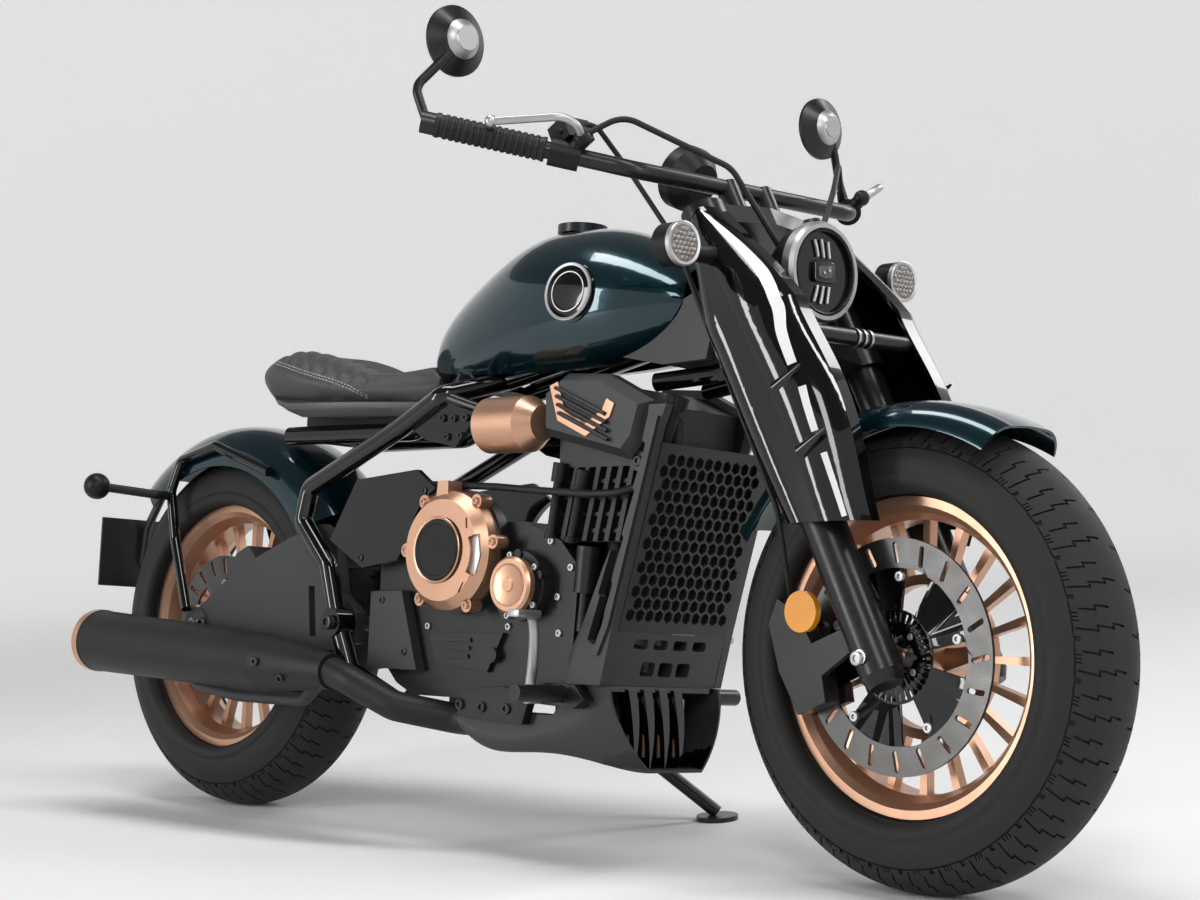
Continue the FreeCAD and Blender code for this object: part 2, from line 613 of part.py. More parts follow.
caliper = slab([(-165, -8), (-112, -14), (-96, 40), (-104, 120), (-128, 152), (-158, 128), (-170, 60)],
    -106, -44)
caliper = caliper.cut(Part.makeCylinder(size.disc_radius + 5, size.disc_thick + 10,
    Vector(0, -size.disc_offset - size.disc_thick / 2 - 5, 0), Vector(0, 1, 0)))
caliper = caliper.cut(Part.makeCylinder(400, 40, Vector(0, -size.disc_offset + size.disc_thick, 0),
    Vector(0, 1, 0)).cut(Part.makeCylinder(178, 40, Vector(0, -size.disc_offset + size.disc_thick, 0),
    Vector(0, 1, 0))))
hanger = slab([(-110, 70), (-20, 60), (-20, 30), (-110, 20)], -106,
    -94).cut(round_bar((0, -size.leg_spacing, 0), (0, -size.leg_spacing, 200), size.slider_radius + 0.2))
caliper = caliper.fuse(hanger)
shape_piece("front_caliper", "fork", caliper)
caliper_shape = caliper
shape_piece("cables", "fork", Part.makeCompound(cables()))
reflector = round_bar((-89, -106.3, 112), (-89, -117, 112), 28.5)
shape_piece("reflector", "fork", reflector)

# Frame

def head_point(height, ahead=0):
    """A point on the steering axis, in the upright bike, at a height along the fork."""
    tilt = math.radians(size.rake_angle)
    x = ahead - size.axis_offset
    return Vector(size.wheelbase + x * math.cos(tilt) - height * math.sin(tilt), 0,
                  size.tyre_radius + x * math.sin(tilt) + height * math.cos(tilt))


STAND_AXIS = Vector(-0.139, 0.9195, 0.368)


def stand_hinge():
    """Where the side stand turns, in the upright bike."""
    return Vector(size.stand_x, size.stand_y, size.stand_height)


def frame():
    low, high = head_point(size.head_bottom), head_point(size.head_top)
    head = round_bar(low, high, size.head_radius)
    bore = round_bar(head_point(size.head_bottom - 30), head_point(size.head_top + 30),
        size.stem_radius + size.pin_gap)
    rail, cradle, spine = size.rail_half, size.cradle_half, size.backbone_half
    floor, pivot_x, pivot_z = size.cradle_height, size.pivot_x, size.pivot_height
    middle = head_point((size.head_bottom + size.head_top) / 2)
    parts = []
    for side in (-1, 1):
        parts.append(rod([(middle.x - 8, side * 18, middle.z + 6), (1020, side * spine, 800),
            (640, side * (spine + 12), 722), (480, side * (spine + 22), 655), (180, side * (spine + 42),
            655)], size.rail_radius, 60))
        parts.append(rod([(low.x - 4, side * 14, low.z + 24), (1120, side * 40, 722),
            (1020, side * 60, 712)], size.cradle_radius, 40))
        parts.append(rod([(690, side * (spine + 8), 733), (640, side * rail, 700), (536, side * rail, 648),
            (320, side * rail, 556), (306, side * rail, 500), (380, side * rail, 425),
            (pivot_x, side * rail, pivot_z), (440, side * (rail - 8), 256), (510, side * cradle, floor),
            (920, side * cradle, floor)], size.rail_radius, 22))
        parts.append(round_bar((pivot_x, side * (size.arm_outer + 3), pivot_z),
            (pivot_x, side * (rail + 18), pivot_z), 24))
    for x, half, height in ((640, spine + 12, 722), (900, cradle, floor), (530, cradle, floor),
            (220, spine + 40, 655)):
        parts.append(round_bar((x, -half, height), (x, half, height), 11))
    for side in (-1, 1):
        parts.append(slab([(560, 652), (640, 690), (720, 668), (672, 616), (600, 630)], side * 134,
            side * 142))
    hinge = stand_hinge()
    parts.append(round_bar((size.stand_x, cradle, floor), hinge - STAND_AXIS * 30, 12))
    parts.append(Part.makeCylinder(17, 24, hinge - STAND_AXIS * (size.stand_hub / 2 + 24.4), STAND_AXIS))
    parts.append(Part.makeCylinder(size.stand_pin, size.stand_hub + 6,
        hinge - STAND_AXIS * (size.stand_hub / 2 + 3), STAND_AXIS))
    whole = head.fuse(parts).cut(bore)
    whole = whole.cut(round_bar((pivot_x, -300, pivot_z), (pivot_x, 300, pivot_z),
        size.pivot_radius - 8 + size.pin_gap))
    return whole


frame_shape = frame()
shape_piece("frame", "bike", frame_shape)


def swing_arm():
    inner, outer = size.arm_inner, size.arm_outer
    axle = size.tyre_radius
    gusset = slab([(-22, 338), (8, 352), (110, 420), (244, 472), (330, 497), (372, 470), (392, 380),
        (436, 350), (432, 300), (380, 286), (150, 284), (40, 290), (-20, 296)], -inner, -outer)
    slot = slab([(306, 392), (322, 392), (332, 308), (316, 308)], -inner + 5, -outer - 5)
    low = rod([(-18, -(inner + outer) / 2, 300), (-12, -(inner + outer) / 2, 214),
        (120, -(inner + outer) / 2, 200), (300, -(inner + outer) / 2, 200),
        (size.pivot_x, -(inner + outer) / 2, 300)], 11.9, 30)
    side = gusset.cut(slot).fuse(low)
    axle_end = round_bar((0, -inner, axle), (0, -outer - 4, axle), 30)
    side = side.fuse(axle_end)
    side = side.cut(round_bar((0, -300, axle), (0, 300, axle), size.axle_radius + size.pin_gap))
    return side


def rear_caliper():
    """The rear brake's caliper: it straddles the disc and hangs on the swing arm's right plate."""
    reach, gap = size.rear_disc_radius + 5, size.disc_thick / 2 + 5
    body = slab([(60, 396), (92, 372), (132, 398), (150, 430), (112, 462), (76, 446)], -48,
        -size.arm_inner - 1)
    slot = Part.makeCylinder(reach, 2 * gap, Vector(0, -size.rear_disc_offset - gap, size.tyre_radius),
        Vector(0, 1, 0))
    rim_room = Part.makeCylinder(size.well_radius - 8, 200, Vector(0, -200, size.tyre_radius),
        Vector(0, 1, 0))
    return body.cut(slot).common(rim_room)


arm = swing_arm()
brace = round_bar((366, -size.arm_inner, 440), (366, size.arm_inner, 440), 15)
pivot_end = size.rail_half + 22
pivot = round_bar((size.pivot_x, -pivot_end, size.pivot_height),
    (size.pivot_x, pivot_end, size.pivot_height), size.pivot_radius - 8)
shape_piece("swing_arm", "bike", arm.fuse([flip(arm), brace, pivot, rear_caliper()]))
cross_shaft("rear_axle", "rear_wheel", "axle_radius", "rear_axle_half")


# Engine

def crankcase():
    """The case with its cover seats, ribbed lower panel, water pump body, feet and drive pocket."""
    half = size.case_half
    outline = [(520, 240), (560, 222), (888, 222), (912, 262), (920, 430), (880, 470), (800, 500), (560, 500),
               (470, 470), (468, 420), (468, 290)]
    whole = slab(outline, -half, half)
    ring = round_bar((size.clutch_x, -half, size.clutch_height), (size.clutch_x, -half - 20,
        size.clutch_height), size.clutch_radius + 4)
    flange = round_bar((size.pump_x, -half, size.pump_height), (size.pump_x, -size.pump_face + 22,
        size.pump_height), size.pump_radius)
    dome = Part.makeCone(size.pump_radius - 10, size.pump_radius - 12, 8,
        Vector(size.pump_x, -size.pump_face + 22, size.pump_height), Vector(0, -1, 0))
    panel = slab([(604, 322), (772, 327), (740, 265), (622, 276)], -half, -half - 9)
    ribs = [slab([(x, z), (x + 60, z + 1), (x + 58, z + 7), (x, z + 6)], -half, -half - 13)
            for x, z in ((640, 284), (642, 297), (644, 310))]
    oval = round_bar((752, -half, 292), (752, -half - 14, 292), 12)
    pump = [round_bar((930, -100, 392), (934, -100, 462), 18), round_bar((926, -100, 334), (930, -100, 396),
        8)]
    feet = [slab([(x, 223), (x + 40, 223), (x + 40, 202.3), (x, 202.3)], side * 45 - 15, side * 45 + 15)
            for x in (600, 840) for side in (-1, 1)]
    whole = whole.fuse([ring, flange, dome, panel, oval] + ribs + pump + feet)
    for k in range(5):
        turn = math.radians(72 * k + 20)
        x, z = size.pump_x + 49 * math.cos(turn), size.pump_height + 49 * math.sin(turn)
        whole = whole.fuse(round_bar((x, -half, z), (x, -size.pump_face + 18, z), 7))
    pocket_room = slab([(440, 262), (566, 282), (566, 398), (440, 418)], half - 24, half + 1)
    pulley = round_bar((size.drive_x, half - 25, size.drive_height),
        (size.drive_x, half - 4, size.drive_height), size.drive_radius)
    return whole.cut(pocket_room).fuse(pulley)


case = crankcase()
shape_piece("crankcase", "bike", case)


def belt_loop(grow):
    """The closed outline of the belt round both wheels: two arcs and two straight runs."""
    rear, front = Vector(0, 0, size.tyre_radius), Vector(size.drive_x, 0, size.drive_height)
    big, small = size.sprocket_radius + grow, size.drive_radius + grow
    along = front - rear
    base = math.atan2(along.z, along.x)
    spread = math.acos((big - small) / along.Length)

    def spot(centre, radius, angle):
        return centre + Vector(radius * math.cos(angle), 0, radius * math.sin(angle))

    up, low = base + spread, base - spread
    edges = [
        Part.Arc(spot(rear, big, up), spot(rear, big, base + math.pi), spot(rear, big, low)),
        Part.LineSegment(spot(rear, big, low), spot(front, small, low)),
        Part.Arc(spot(front, small, low), spot(front, small, base), spot(front, small, up)),
        Part.LineSegment(spot(front, small, up), spot(rear, big, up))]
    return Part.Wire([edge.toShape() for edge in edges])


def drive_belt():
    """The toothed belt from the engine to the rear wheel, on the left."""
    outer, inner = (Part.Face(belt_loop(grow)) for grow in (size.belt_thick + size.belt_gap, size.belt_gap))
    band = outer.cut(inner).extrude(Vector(0, size.belt_width, 0))
    band.translate(Vector(0, size.sprocket_offset + 2 - size.belt_width / 2, 0))
    return shape_piece("drive_belt", "bike", band)


drive_belt()

tilt = math.radians(12)
block_outline = [(838, 470.3), (1000, 470.3), (1026, 584), (862, 584)]
block = slab(block_outline, -84, 84)
for level in range(4):
    z = 484 + level * 25
    shift = (z - 470) * math.tan(tilt)
    block = block.fuse(slab([(832 + shift, z), (1004 + shift, z), (1005 + shift, z + 6),
        (833 + shift, z + 6)], -91, 91))
for rib in range(7):
    x, shift = 846 + rib * 23, 113 * math.tan(tilt)
    block = block.fuse(slab([(x, 471), (x + 9, 471), (x + 9 + shift, 584), (x + shift, 584)], -97, 97))
head_block = slab([(862, 583), (1036, 583), (1046, 612), (1052, 674), (976, 706), (894, 706), (858, 690)],
    -97.7, 97.7)
block = block.fuse(head_block).cut(case)
shape_piece("cylinders", "bike", block)

cap_outline = [(853, 699), (894, 725), (978, 720), (1072, 676), (1056, 618), (1030, 590), (858, 630)]
CAP_EARS = ((857, 650, 11), (1040, 588, 15))


def cap_ring(y, inset=0.0):
    """The head cover's outline at a distance off the middle, or drawn in."""
    corners = [Vector(x, -y, z) for x, z in cap_outline]
    ring = Part.makePolygon(corners + corners[:1])
    return ring.makeOffset2D(-inset) if inset else ring


def head_cap():
    """A faceted head cover: straight base, bevelled facets, two bolt ears and four bars."""
    knee = size.cap_face - 20
    form = slab(cap_outline, -size.cap_inner, -knee)
    form = form.fuse(Part.makeLoft([cap_ring(knee), cap_ring(size.cap_face, 13)], True, True))
    for x, z, radius in CAP_EARS:
        form = form.fuse(round_bar((x, -size.cap_inner, z), (x, -size.cap_inner - 16, z), radius))
    for bar in range(4):
        x, z = 890 + bar * 3, 698 - bar * 13
        form = form.fuse(slab([(x, z), (x + 104, z - 44), (x + 106, z - 39), (x + 2, z + 5)],
            -size.cap_face + 4, -size.cap_face - 5))
    return form


def cap_insert(cap):
    """The copper U that lies on a head cover, under its bars."""
    line = [(876, 704), (896, 650), (956, 624), (1004, 652), (1012, 672), (996, 680), (988, 664),
        (954, 643), (911, 664), (893, 710)]
    return slab(line, -size.cap_face, -size.cap_face - 3).cut(cap)


cap = head_cap()
shape_piece("head_caps", "bike", Part.makeCompound([cap, flip(cap)]))
insert = cap_insert(cap)
shape_piece("cap_inserts", "bike", Part.makeCompound([insert, flip(insert)]))


def round_cover(name, x, height, radius, back, face, dish):
    """A round engine cover with a raised, bevelled rim and a lower middle."""
    body = new_body(name)
    sketch = new_sketch(body, name + "_section", "YZ_Plane")
    draw_loop(sketch, [(-size.case_half - back, 0), (-size.case_half - back, radius), (-face + 16, radius),
        (-face, radius - 14), (-face, radius * 0.55), (-face + dish, radius * 0.52), (-face + dish, 0)])
    revolve(body, name + "_round", sketch)
    keep(body, name, "bike")
    body.Placement = Placement(Vector(x, 0, height), Rotation())
    return body


clutch = round_cover("clutch_cover", size.clutch_x, size.clutch_height, size.clutch_radius, 20.3,
    size.clutch_face, 5)


def clutch_details(body):
    """Bolt lugs, the boss on top, the window's recess and two slots of the clutch cover."""
    lugs = new_sketch(body, "lug_plan", "XZ_Plane", "case_half + 20.3")
    for degrees in (8, 52, 128, 180, 232, 300):
        turn = math.radians(degrees)
        reach = size.clutch_radius + (8 if degrees == 8 else 4)
        lugs.addGeometry(Part.Circle(Vector(reach * math.cos(turn), reach * math.sin(turn), 0),
            Vector(0, 0, 1), 11))
    pad(body, "lugs", lugs, "24")
    boss = new_sketch(body, "boss_plan", "XZ_Plane", "case_half + 20.3")
    top = size.clutch_radius
    draw_loop(boss, [(-26, top - 18), (2, top - 18), (0, top + 16), (-24, top + 16)])
    pad(body, "boss", boss, "30")
    window = new_sketch(body, "window_plan", "XZ_Plane", "clutch_face + 1")
    draw_loop(window, [(60, -34), ("via", 68, -8), (62, 20), (82, 26), ("via", 88, -8), (79, -42)])
    pocket(body, "window", window, "8", both=False, back=False)
    slots = new_sketch(body, "slot_plan", "XZ_Plane", "clutch_face + 1")
    for x, z, lean in ((60, 42, -1), (48, -58, 1)):
        draw_loop(slots, [(x - 4, z - 8), (x, z - 8), (x + 4 + 6 * lean, z + 8), (x + 6 * lean, z + 8)])
    pocket(body, "slots", slots, "8", both=False, back=False)


clutch_details(clutch)
pump_ring = new_body("pump_cover")
pump_sketch = new_sketch(pump_ring, "pump_section", "YZ_Plane")
draw_loop(pump_sketch, [(-size.pump_face + 13.7, 0), (-size.pump_face + 13.7, 44),
    (-size.pump_face + 4, 44), (-size.pump_face, 40), (-size.pump_face, 0)])
revolve(pump_ring, "pump_round", pump_sketch)
keep(pump_ring, "pump_cover", "bike")
pump_ring.Placement = Placement(Vector(size.pump_x, 0, size.pump_height), Rotation())
left_cover = new_body("generator_cover")
left_sketch = new_sketch(left_cover, "generator_section", "YZ_Plane")
draw_loop(left_sketch, [(size.case_half + 0.3, 0), (size.case_half + 0.3, 84), (140, 84), (152, 70),
    (152, 0)])
revolve(left_cover, "generator_round", left_sketch)
keep(left_cover, "generator_cover", "bike")
left_cover.Placement = Placement(Vector(size.clutch_x + 30, 0, size.clutch_height - 10), Rotation())


def canister():
    """A turned intake canister with a conical front end."""
    wide, long = size.canister_radius, size.canister_length
    line = [(0, 0), (0, wide - 3), (3, wide), (long - 26, wide), (long, wide * 0.62), (long, 0)]
    face = Part.Face(Part.makePolygon([Vector(along, r, 0) for along, r in line + line[:1]]))
    can = face.revolve(Vector(), Vector(1, 0, 0), 360)
    can.Placement = Placement(Vector(size.canister_x, -size.canister_y, size.canister_height), Rotation())
    stay = round_bar((size.canister_x + 10, -size.canister_y, size.canister_height + 18),
        (648, -size.rail_half + 4, 696), 9)
    return shape_piece("intake_canister", "bike", can.fuse(stay).cut(frame_shape))


canister()

# Radiator

def tilted(x, height):
    return Placement(Vector(x, 0, height), Rotation(Vector(0, 1, 0), size.core_rake))


def radiator():
    """The radiator's core, with its filler neck and ribbed cap at the top right."""
    core = Part.makeBox(size.core_thick, 2 * size.core_half, size.core_length,
                        Vector(-size.core_thick - size.grille_thick - size.seat_gap, -size.core_half, 0))
    core.Placement = tilted(size.core_x, size.core_foot)
    neck_foot, neck_top = Vector(1069, -99, 600), Vector(1096, -102, 664)
    up = (neck_top - neck_foot).normalize()
    neck = Part.makeCylinder(10, (neck_top - neck_foot).Length, neck_foot, up)
    lid = Part.makeCylinder(17, 19, neck_top, up)
    across = up.cross(Vector(0, 1, 0)).normalize()
    for k in range(12):
        notch = Part.makeCylinder(2.4, 30, neck_top + across * 18 - up * 5, up)
        notch.rotate(neck_top, up, 30 * k)
        lid = lid.cut(notch)
    return core.fuse([neck, lid]).cut(cap).cut(flip(cap))


core = radiator()
shape_piece("radiator", "bike", core)


def grille():
    """Honeycomb plate: hexagonal holes in rows, each second row shifted by half a pitch."""
    body = new_body("grille")
    plan = new_sketch(body, "grille_plan", "YZ_Plane")
    half, top = size.core_half + 6, size.core_length + 4
    draw_loop(plan, [(-half, -6), (half, -6), (half, top), (-half, top)])
    pad(body, "grille_plate", plan, "grille_thick", back=True)
    cell = new_sketch(body, "cell_plan", "YZ_Plane")
    r = (size.hex_pitch - size.hex_web) / math.sqrt(3)
    step_z = size.hex_pitch * math.sqrt(3) / 2
    columns = int(2 * size.core_half / size.hex_pitch) - 1
    rows = int(size.core_length / step_z) - 1
    low = (size.core_length - (rows - 1) * step_z) / 2
    for row in range(rows):
        shift = size.hex_pitch / 2 * (row % 2)
        for column in range(columns + 1 - row % 2):
            y = (column - columns / 2) * size.hex_pitch + shift
            z = low + row * step_z
            corners = [(y + r * math.sin(k * math.pi / 3), z + r * math.cos(k * math.pi / 3))
                for k in range(6)]
            draw_loop(cell, corners, tied=False)
    pocket(body, "cells", cell, "grille_thick * 3")
    keep(body, "grille", "bike")
    body.Placement = tilted(size.core_x, size.core_foot)


grille()


def rounded_block(deep, wide, high, radius):
    """A block across X, centred in Y and Z, with its four long edges rounded."""
    block = Part.makeBox(deep, wide, high, Vector(-deep / 2, -wide / 2, -high / 2))
    long_edges = [edge for edge in block.Edges if abs(edge.Curve.Direction.x) > 0.9]
    return block.makeFillet(radius, long_edges)


def shroud():
    """Side plates of the radiator with four rounded slots each, and the slotted lower panel."""
    outline = [(1112, 668), (1098, 636), (1024, 344), (1004, 256), (936, 256), (940, 300), (967, 351),
        (999, 426), (1034, 500), (1054, 573), (1074, 632), (1078, 668)]
    side = slab(outline, -size.core_half - 6.3, -size.core_half - 22)
    step = slab([(1100, 650), (1020, 344), (1000, 300), (986, 300), (1008, 344), (1080, 650)],
                -size.core_half - 22, -size.core_half - 27)
    side = side.fuse(step)
    for z in (364, 432, 500, 568):
        x = size.core_x - 29 + (z - size.core_foot) * math.tan(math.radians(size.core_rake))
        hole = rounded_block(46, 22, 100, 6)
        hole.Placement = Placement(Vector(x, -size.core_half - 20, z),
            Rotation(Vector(0, 1, 0), size.core_rake + 4).multiply(Rotation(Vector(0, 0, 1), 90)))
        side = side.cut(hole)
    panel = slab([(970, 256), (1003, 256), (1022, 336), (989, 336)], -size.core_half - 7, size.core_half + 7)
    for y, up, wide, high in ([(k * 44 - 66, -24, 30, 15) for k in range(4)] + [(k * 40 - 40, -62, 30, 22)
            for k in range(3)]):
        hole = rounded_block(120, wide, high, 5)
        hole.Placement = tilted(size.core_x, size.core_foot).multiply(Placement(Vector(-20, y, up),
            Rotation()))
        panel = panel.cut(hole)
    return side.fuse([flip(side), panel])


shape_piece("radiator_shroud", "bike", shroud())

PAN_SECTIONS = ((691, 125, 114, 182, 193), (720, 125, 110, 158, 182), (880, 125, 104, 149, 186),
    (960, 125, 86, 140, 212), (1042, 126, 58, 130, 244))


def pan_section(x, half, foot, low, knee, top, inset=0.0):
    """A U-shaped section of the belly pan: upright flanks, rounded turns, flat floor."""
    half, foot, low = half - inset, foot - 0.6 * inset, low + inset

    def flank(side):
        turn = Vector(x, side * (0.42 * half + 0.58 * foot + 4), 0.36 * knee + 0.64 * low - 4)
        return Part.Arc(Vector(x, side * half, knee), turn, Vector(x, side * foot, low)).toShape()

    left, right = Vector(x, half, top), Vector(x, -half, top)
    sides = [Part.LineSegment(left, Vector(x, half, knee)), Part.LineSegment(Vector(x, foot, low),
        Vector(x, -foot, low)), Part.LineSegment(Vector(x, -half, knee), right),
        Part.LineSegment(right, left)]
    sides = [side.toShape() for side in sides]
    return Part.Wire([sides[0], flank(1), sides[1], flank(-1), sides[2], sides[3]])


def pan_form(top, inset=0.0, reach=0.0):
    """The pan's form up to a height; drawn in by a wall and made longer, it is the room inside."""
    rows = [list(row) for row in PAN_SECTIONS]
    rows[0][0] -= reach
    rows[-1][0] += reach
    return Part.makeLoft([pan_section(*row, top, inset) for row in rows], True, False)


def pan_vanes(form):
    """Claw-shaped vanes that stand across the pan's front mouth, under a cross bar."""
    low, top = 132, size.pan_top
    blades = []
    for root in (-70, -36, -2, 32):
        right = Part.Arc(Vector(0, root + 9, top - 4), Vector(0, root + 19, 196),
            Vector(0, root + 12, low)).toShape()
        left = Part.Arc(Vector(0, root + 12, low), Vector(0, root + 5, 196),
            Vector(0, root - 9, top - 4)).toShape()
        lid = Part.LineSegment(Vector(0, root - 9, top - 4), Vector(0, root + 9, top - 4)).toShape()
        blade = Part.Face(Part.Wire([right, left, lid])).extrude(Vector(24, 0, 0))
        blade.translate(Vector(984, 0, 0))
        blades.append(blade.common(form))
    bar = Part.makeBox(20, 2 * size.pan_half, 8, Vector(984, -size.pan_half, top - 8)).common(form)
    return [bar] + blades


def belly_pan():
    """A thin-walled tray, open above and behind, that rises to a U-shaped mouth with vanes."""
    top, wall = size.pan_top, size.pan_wall
    form = pan_form(top)
    tray = form.cut(pan_form(top + 40, wall, 12))
    seats = [slab([(x, 152), (x + 30, 152), (x + 30, 169.8), (x, 169.8)], side * 45 - 10, side * 45 + 10)
             for x in (780, 880) for side in (-1, 1)]
    tray = tray.fuse(pan_vanes(form) + seats)
    tray = tray.cut(slab([(640, 207), (898, 207), (938, top + 2), (640, top + 2)], -200, 200))
    tray = tray.cut(slab([(1010, 262), (1042, 120), (1100, 120), (1100, 262)], -200, 200))
    hinge = stand_hinge()
    return tray.cut(Part.makeCylinder(19, 50, hinge - STAND_AXIS * 60, STAND_AXIS))


pan_shape = belly_pan()
shape_piece("belly_pan", "bike", pan_shape)


def hoses():
    """Two spark boots beside the block, the long line over the engine, and the radiator's hose."""
    boots = []
    for x, low, high, lean in ((855, 474, 590, 15), (898, 468, 578, 22)):
        foot, head = Vector(x, -104, low), Vector(x + lean, -104, high)
        up = (head - foot).normalize()
        boot = round_bar(foot, head, 7).fuse([Part.makeCylinder(11.5, 30, head - up * 30, up),
            Part.makeCylinder(10, 8, foot, up)])
        boots.append(boot.cut(block).cut(case).cut(cap))
    line = rod([(590, -119.7, 560), (747, -119, 554), (836, -121, 547), (943, -120, 540), (998, -117, 541),
        (1050, -100, 556)], 5.7, 60)
    elbow = rod([(1040, -62, 655), (1071, -62, 655), (1070, -62, 606)], 11, 22)
    return [boots[0], boots[1], line.cut(core), elbow.cut(core).cut(block)]


shape_piece("hoses", "bike", Part.makeCompound(hoses()))

# Tank, seat and panels

def section(x, half, low, high, wide_at=0.45, crown=0.55):
    """A closed tank section: flat floor, full flanks, rounded top."""
    rise = high - low
    points = [(0, low), (-half * 0.75, low + rise * 0.04), (-half, low + rise * wide_at),
        (-half * crown, high - rise * 0.10), (0, high), (half * crown, high - rise * 0.10),
        (half, low + rise * wide_at), (half * 0.75, low + rise * 0.04)]
    curve = Part.BSplineCurve()
    curve.interpolate([Vector(x, y, z) for y, z in points], True)
    return Part.Wire(curve.toShape())


TANK_SECTIONS = ((512, 44, 742, 782), (560, 78, 738, 862), (640, 106, 738, 914), (740, 128, 742, 962),
    (830, 138, 746, 971), (920, 136, 752, 961), (1000, 122, 768, 930), (1050, 100, 786, 900),
    (1092, 64, 806, 862))


def tank_form(inset):
    """The tank's outer form, or the same form drawn in by a wall."""
    rows = [section(x, half - inset, low + inset, high - inset) for x, half, low, high in TANK_SECTIONS]
    form = Part.makeLoft(rows, True, False)
    tunnel = rod([(1240, 0, 858), (1020, 0, 800), (640, 0, 722), (480, 0, 680)],
        size.backbone_half + 40 + inset, 120)
    head = round_bar(head_point(400), head_point(800), size.head_radius + 8 + inset)
    return form, form.cut(tunnel).cut(head)


tank, tank_shell = tank_form(0)
_, room = tank_form(size.tank_wall)
ends = Part.makeBox(TANK_SECTIONS[-1][0] - TANK_SECTIONS[0][0] - 3 * size.tank_wall, 400, 400,
                    Vector(TANK_SECTIONS[0][0] + 1.5 * size.tank_wall, -200, 600))
neck_hole = round_bar((size.cap_x, 0, size.cap_height - 40), (size.cap_x, 0, size.cap_height + 10),
    size.cap_radius - 16)
shape_piece("fuel_tank", "bike", tank_shell.cut(room.common(ends)).cut(neck_hole))
shape_piece("tank_cap", "bike", Part.makeCylinder(size.cap_radius, 14,
    Vector(size.cap_x, 0, size.cap_height)).cut(tank))
badge = round_bar((size.badge_x, -150, size.badge_height), (size.badge_x, -100, size.badge_height),
    size.badge_radius)
skin = tank.copy()
skin.translate(Vector(0, -5, 0))
badge = badge.common(skin).cut(tank)
skin.translate(Vector(0, 10, 0))
twin = round_bar((size.badge_x, 150, size.badge_height), (size.badge_x, 100, size.badge_height),
    size.badge_radius).common(skin).cut(tank)
shape_piece("tank_badges", "bike", Part.makeCompound([badge, twin]))


def seat_section(x, half, low, high):
    points = [(0, low), (-half * 0.8, low), (-half, (low + high) / 2 - 4), (-half * 0.72, high - 8),
        (0, high - 3), (half * 0.72, high - 8), (half, (low + high) / 2 - 4), (half * 0.8, low)]
    curve = Part.BSplineCurve()
    curve.interpolate([Vector(x, y, z) for y, z in points], True)
    return Part.Wire(curve.toShape())


SEAT_SECTIONS = ((118, 84, 748, 788), (150, 128, 722, 800), (219, 148, 708, 800), (300, 146, 702, 776),
    (380, 128, 700, 757), (446, 104, 700, 757), (500, 84, 702, 764), (540, 66, 712, 772))
seat = Part.makeLoft([seat_section(*row) for row in SEAT_SECTIONS], True, False).cut(tank)
seat = seat.cut(Part.makeBox(700, 400, 100, Vector(0, -200, 600)))
shape_piece("seat", "bike", seat)
shape_piece("seat_base", "bike", slab([(200, 671.3), (474, 671.3), (474, 699.7), (200, 699.7)], -62, 62))

panel = slab([(370, 469), (431, 569), (578, 583), (628, 550), (541, 437), (456, 423)], -126, -137)
panel = panel.cut(round_bar((size.clutch_x, 0, size.clutch_height),
    (size.clutch_x, -200, size.clutch_height), size.clutch_radius + 17))
for x, z in ((540, 466), (486, 446)):
    panel = panel.fuse(round_bar((x, -127, z), (x, -size.case_half - size.seat_gap, z), 10))
shape_piece("side_covers", "bike", Part.makeCompound([panel, flip(panel)]))
plate = slab([(470, 386), (545, 389), (590, 261), (470, 262)], -size.case_half - 0.3, -127)
shape_piece("lower_side_plates", "bike", Part.makeCompound([plate, flip(plate)]))
neck = slab([(935, 757), (1020, 805), (1104, 842), (1140, 790), (1130, 740), (1045, 736)], -62, -76)
shape_piece("neck_covers", "bike", Part.makeCompound([neck.cut(tank), flip(neck).cut(tank)]))

# Tail

def fender_flank(reach):
    """How far off the middle the rear fender's side lies, at a distance from the axle."""
    outer, half, drop = size.fender_rear_radius, size.fender_rear_half, 80
    side = Part.Arc(Vector(half, outer - drop, 0), Vector(half * 0.8, outer - drop * 0.3, 0),
        Vector(half * 0.42, outer - drop * 0.05, 0))
    level = Part.LineSegment(Vector(0, reach, 0), Vector(200, reach, 0)).toShape()
    near = side.toShape().distToShape(level)[1][0][0]
    return near.x


side_y = -size.fender_rear_half - 9.3
strut = rod([(160, side_y, 590), (1, side_y, 640), (-100, side_y, 616), (-126, side_y, 560),
    (-92, -116, 470), (-16, -137.3, 345)], 9, 18)
for x, z in ((110, 602), (-108, 594)):
    strut = strut.fuse(round_bar((x, side_y, z),
        (x, -fender_flank(math.hypot(x, z - size.tyre_radius)) - 0.7, z), 6))
shape_piece("fender_struts", "bike", Part.makeCompound([strut, flip(strut)]))
stalk = rod([(-124, side_y - 2, 551), (-124, side_y - 34, 551), (-188, -212, 560)], 8, 20).cut(strut)
ball = Part.makeSphere(24, Vector(-197, -220, 561))
tail_signal = stalk.fuse(ball)
shape_piece("tail_signals", "bike", Part.makeCompound([tail_signal, flip(tail_signal)]))
number_plate = Part.makeBox(4, size.plate_width, size.plate_height, Vector(-360, -size.plate_width / 2, 385))
holder = rod([(-356, 0, 430), (-346, 0, 500), (-290, 0, 580), (-210, 0, 629)], 8, 30)
holder = holder.cut(Part.makeCylinder(size.fender_rear_radius + 0.2, 60, Vector(0, -30, size.tyre_radius),
    Vector(0, 1, 0)))
shape_piece("number_plate", "bike", number_plate.fuse(holder))

# Exhaust

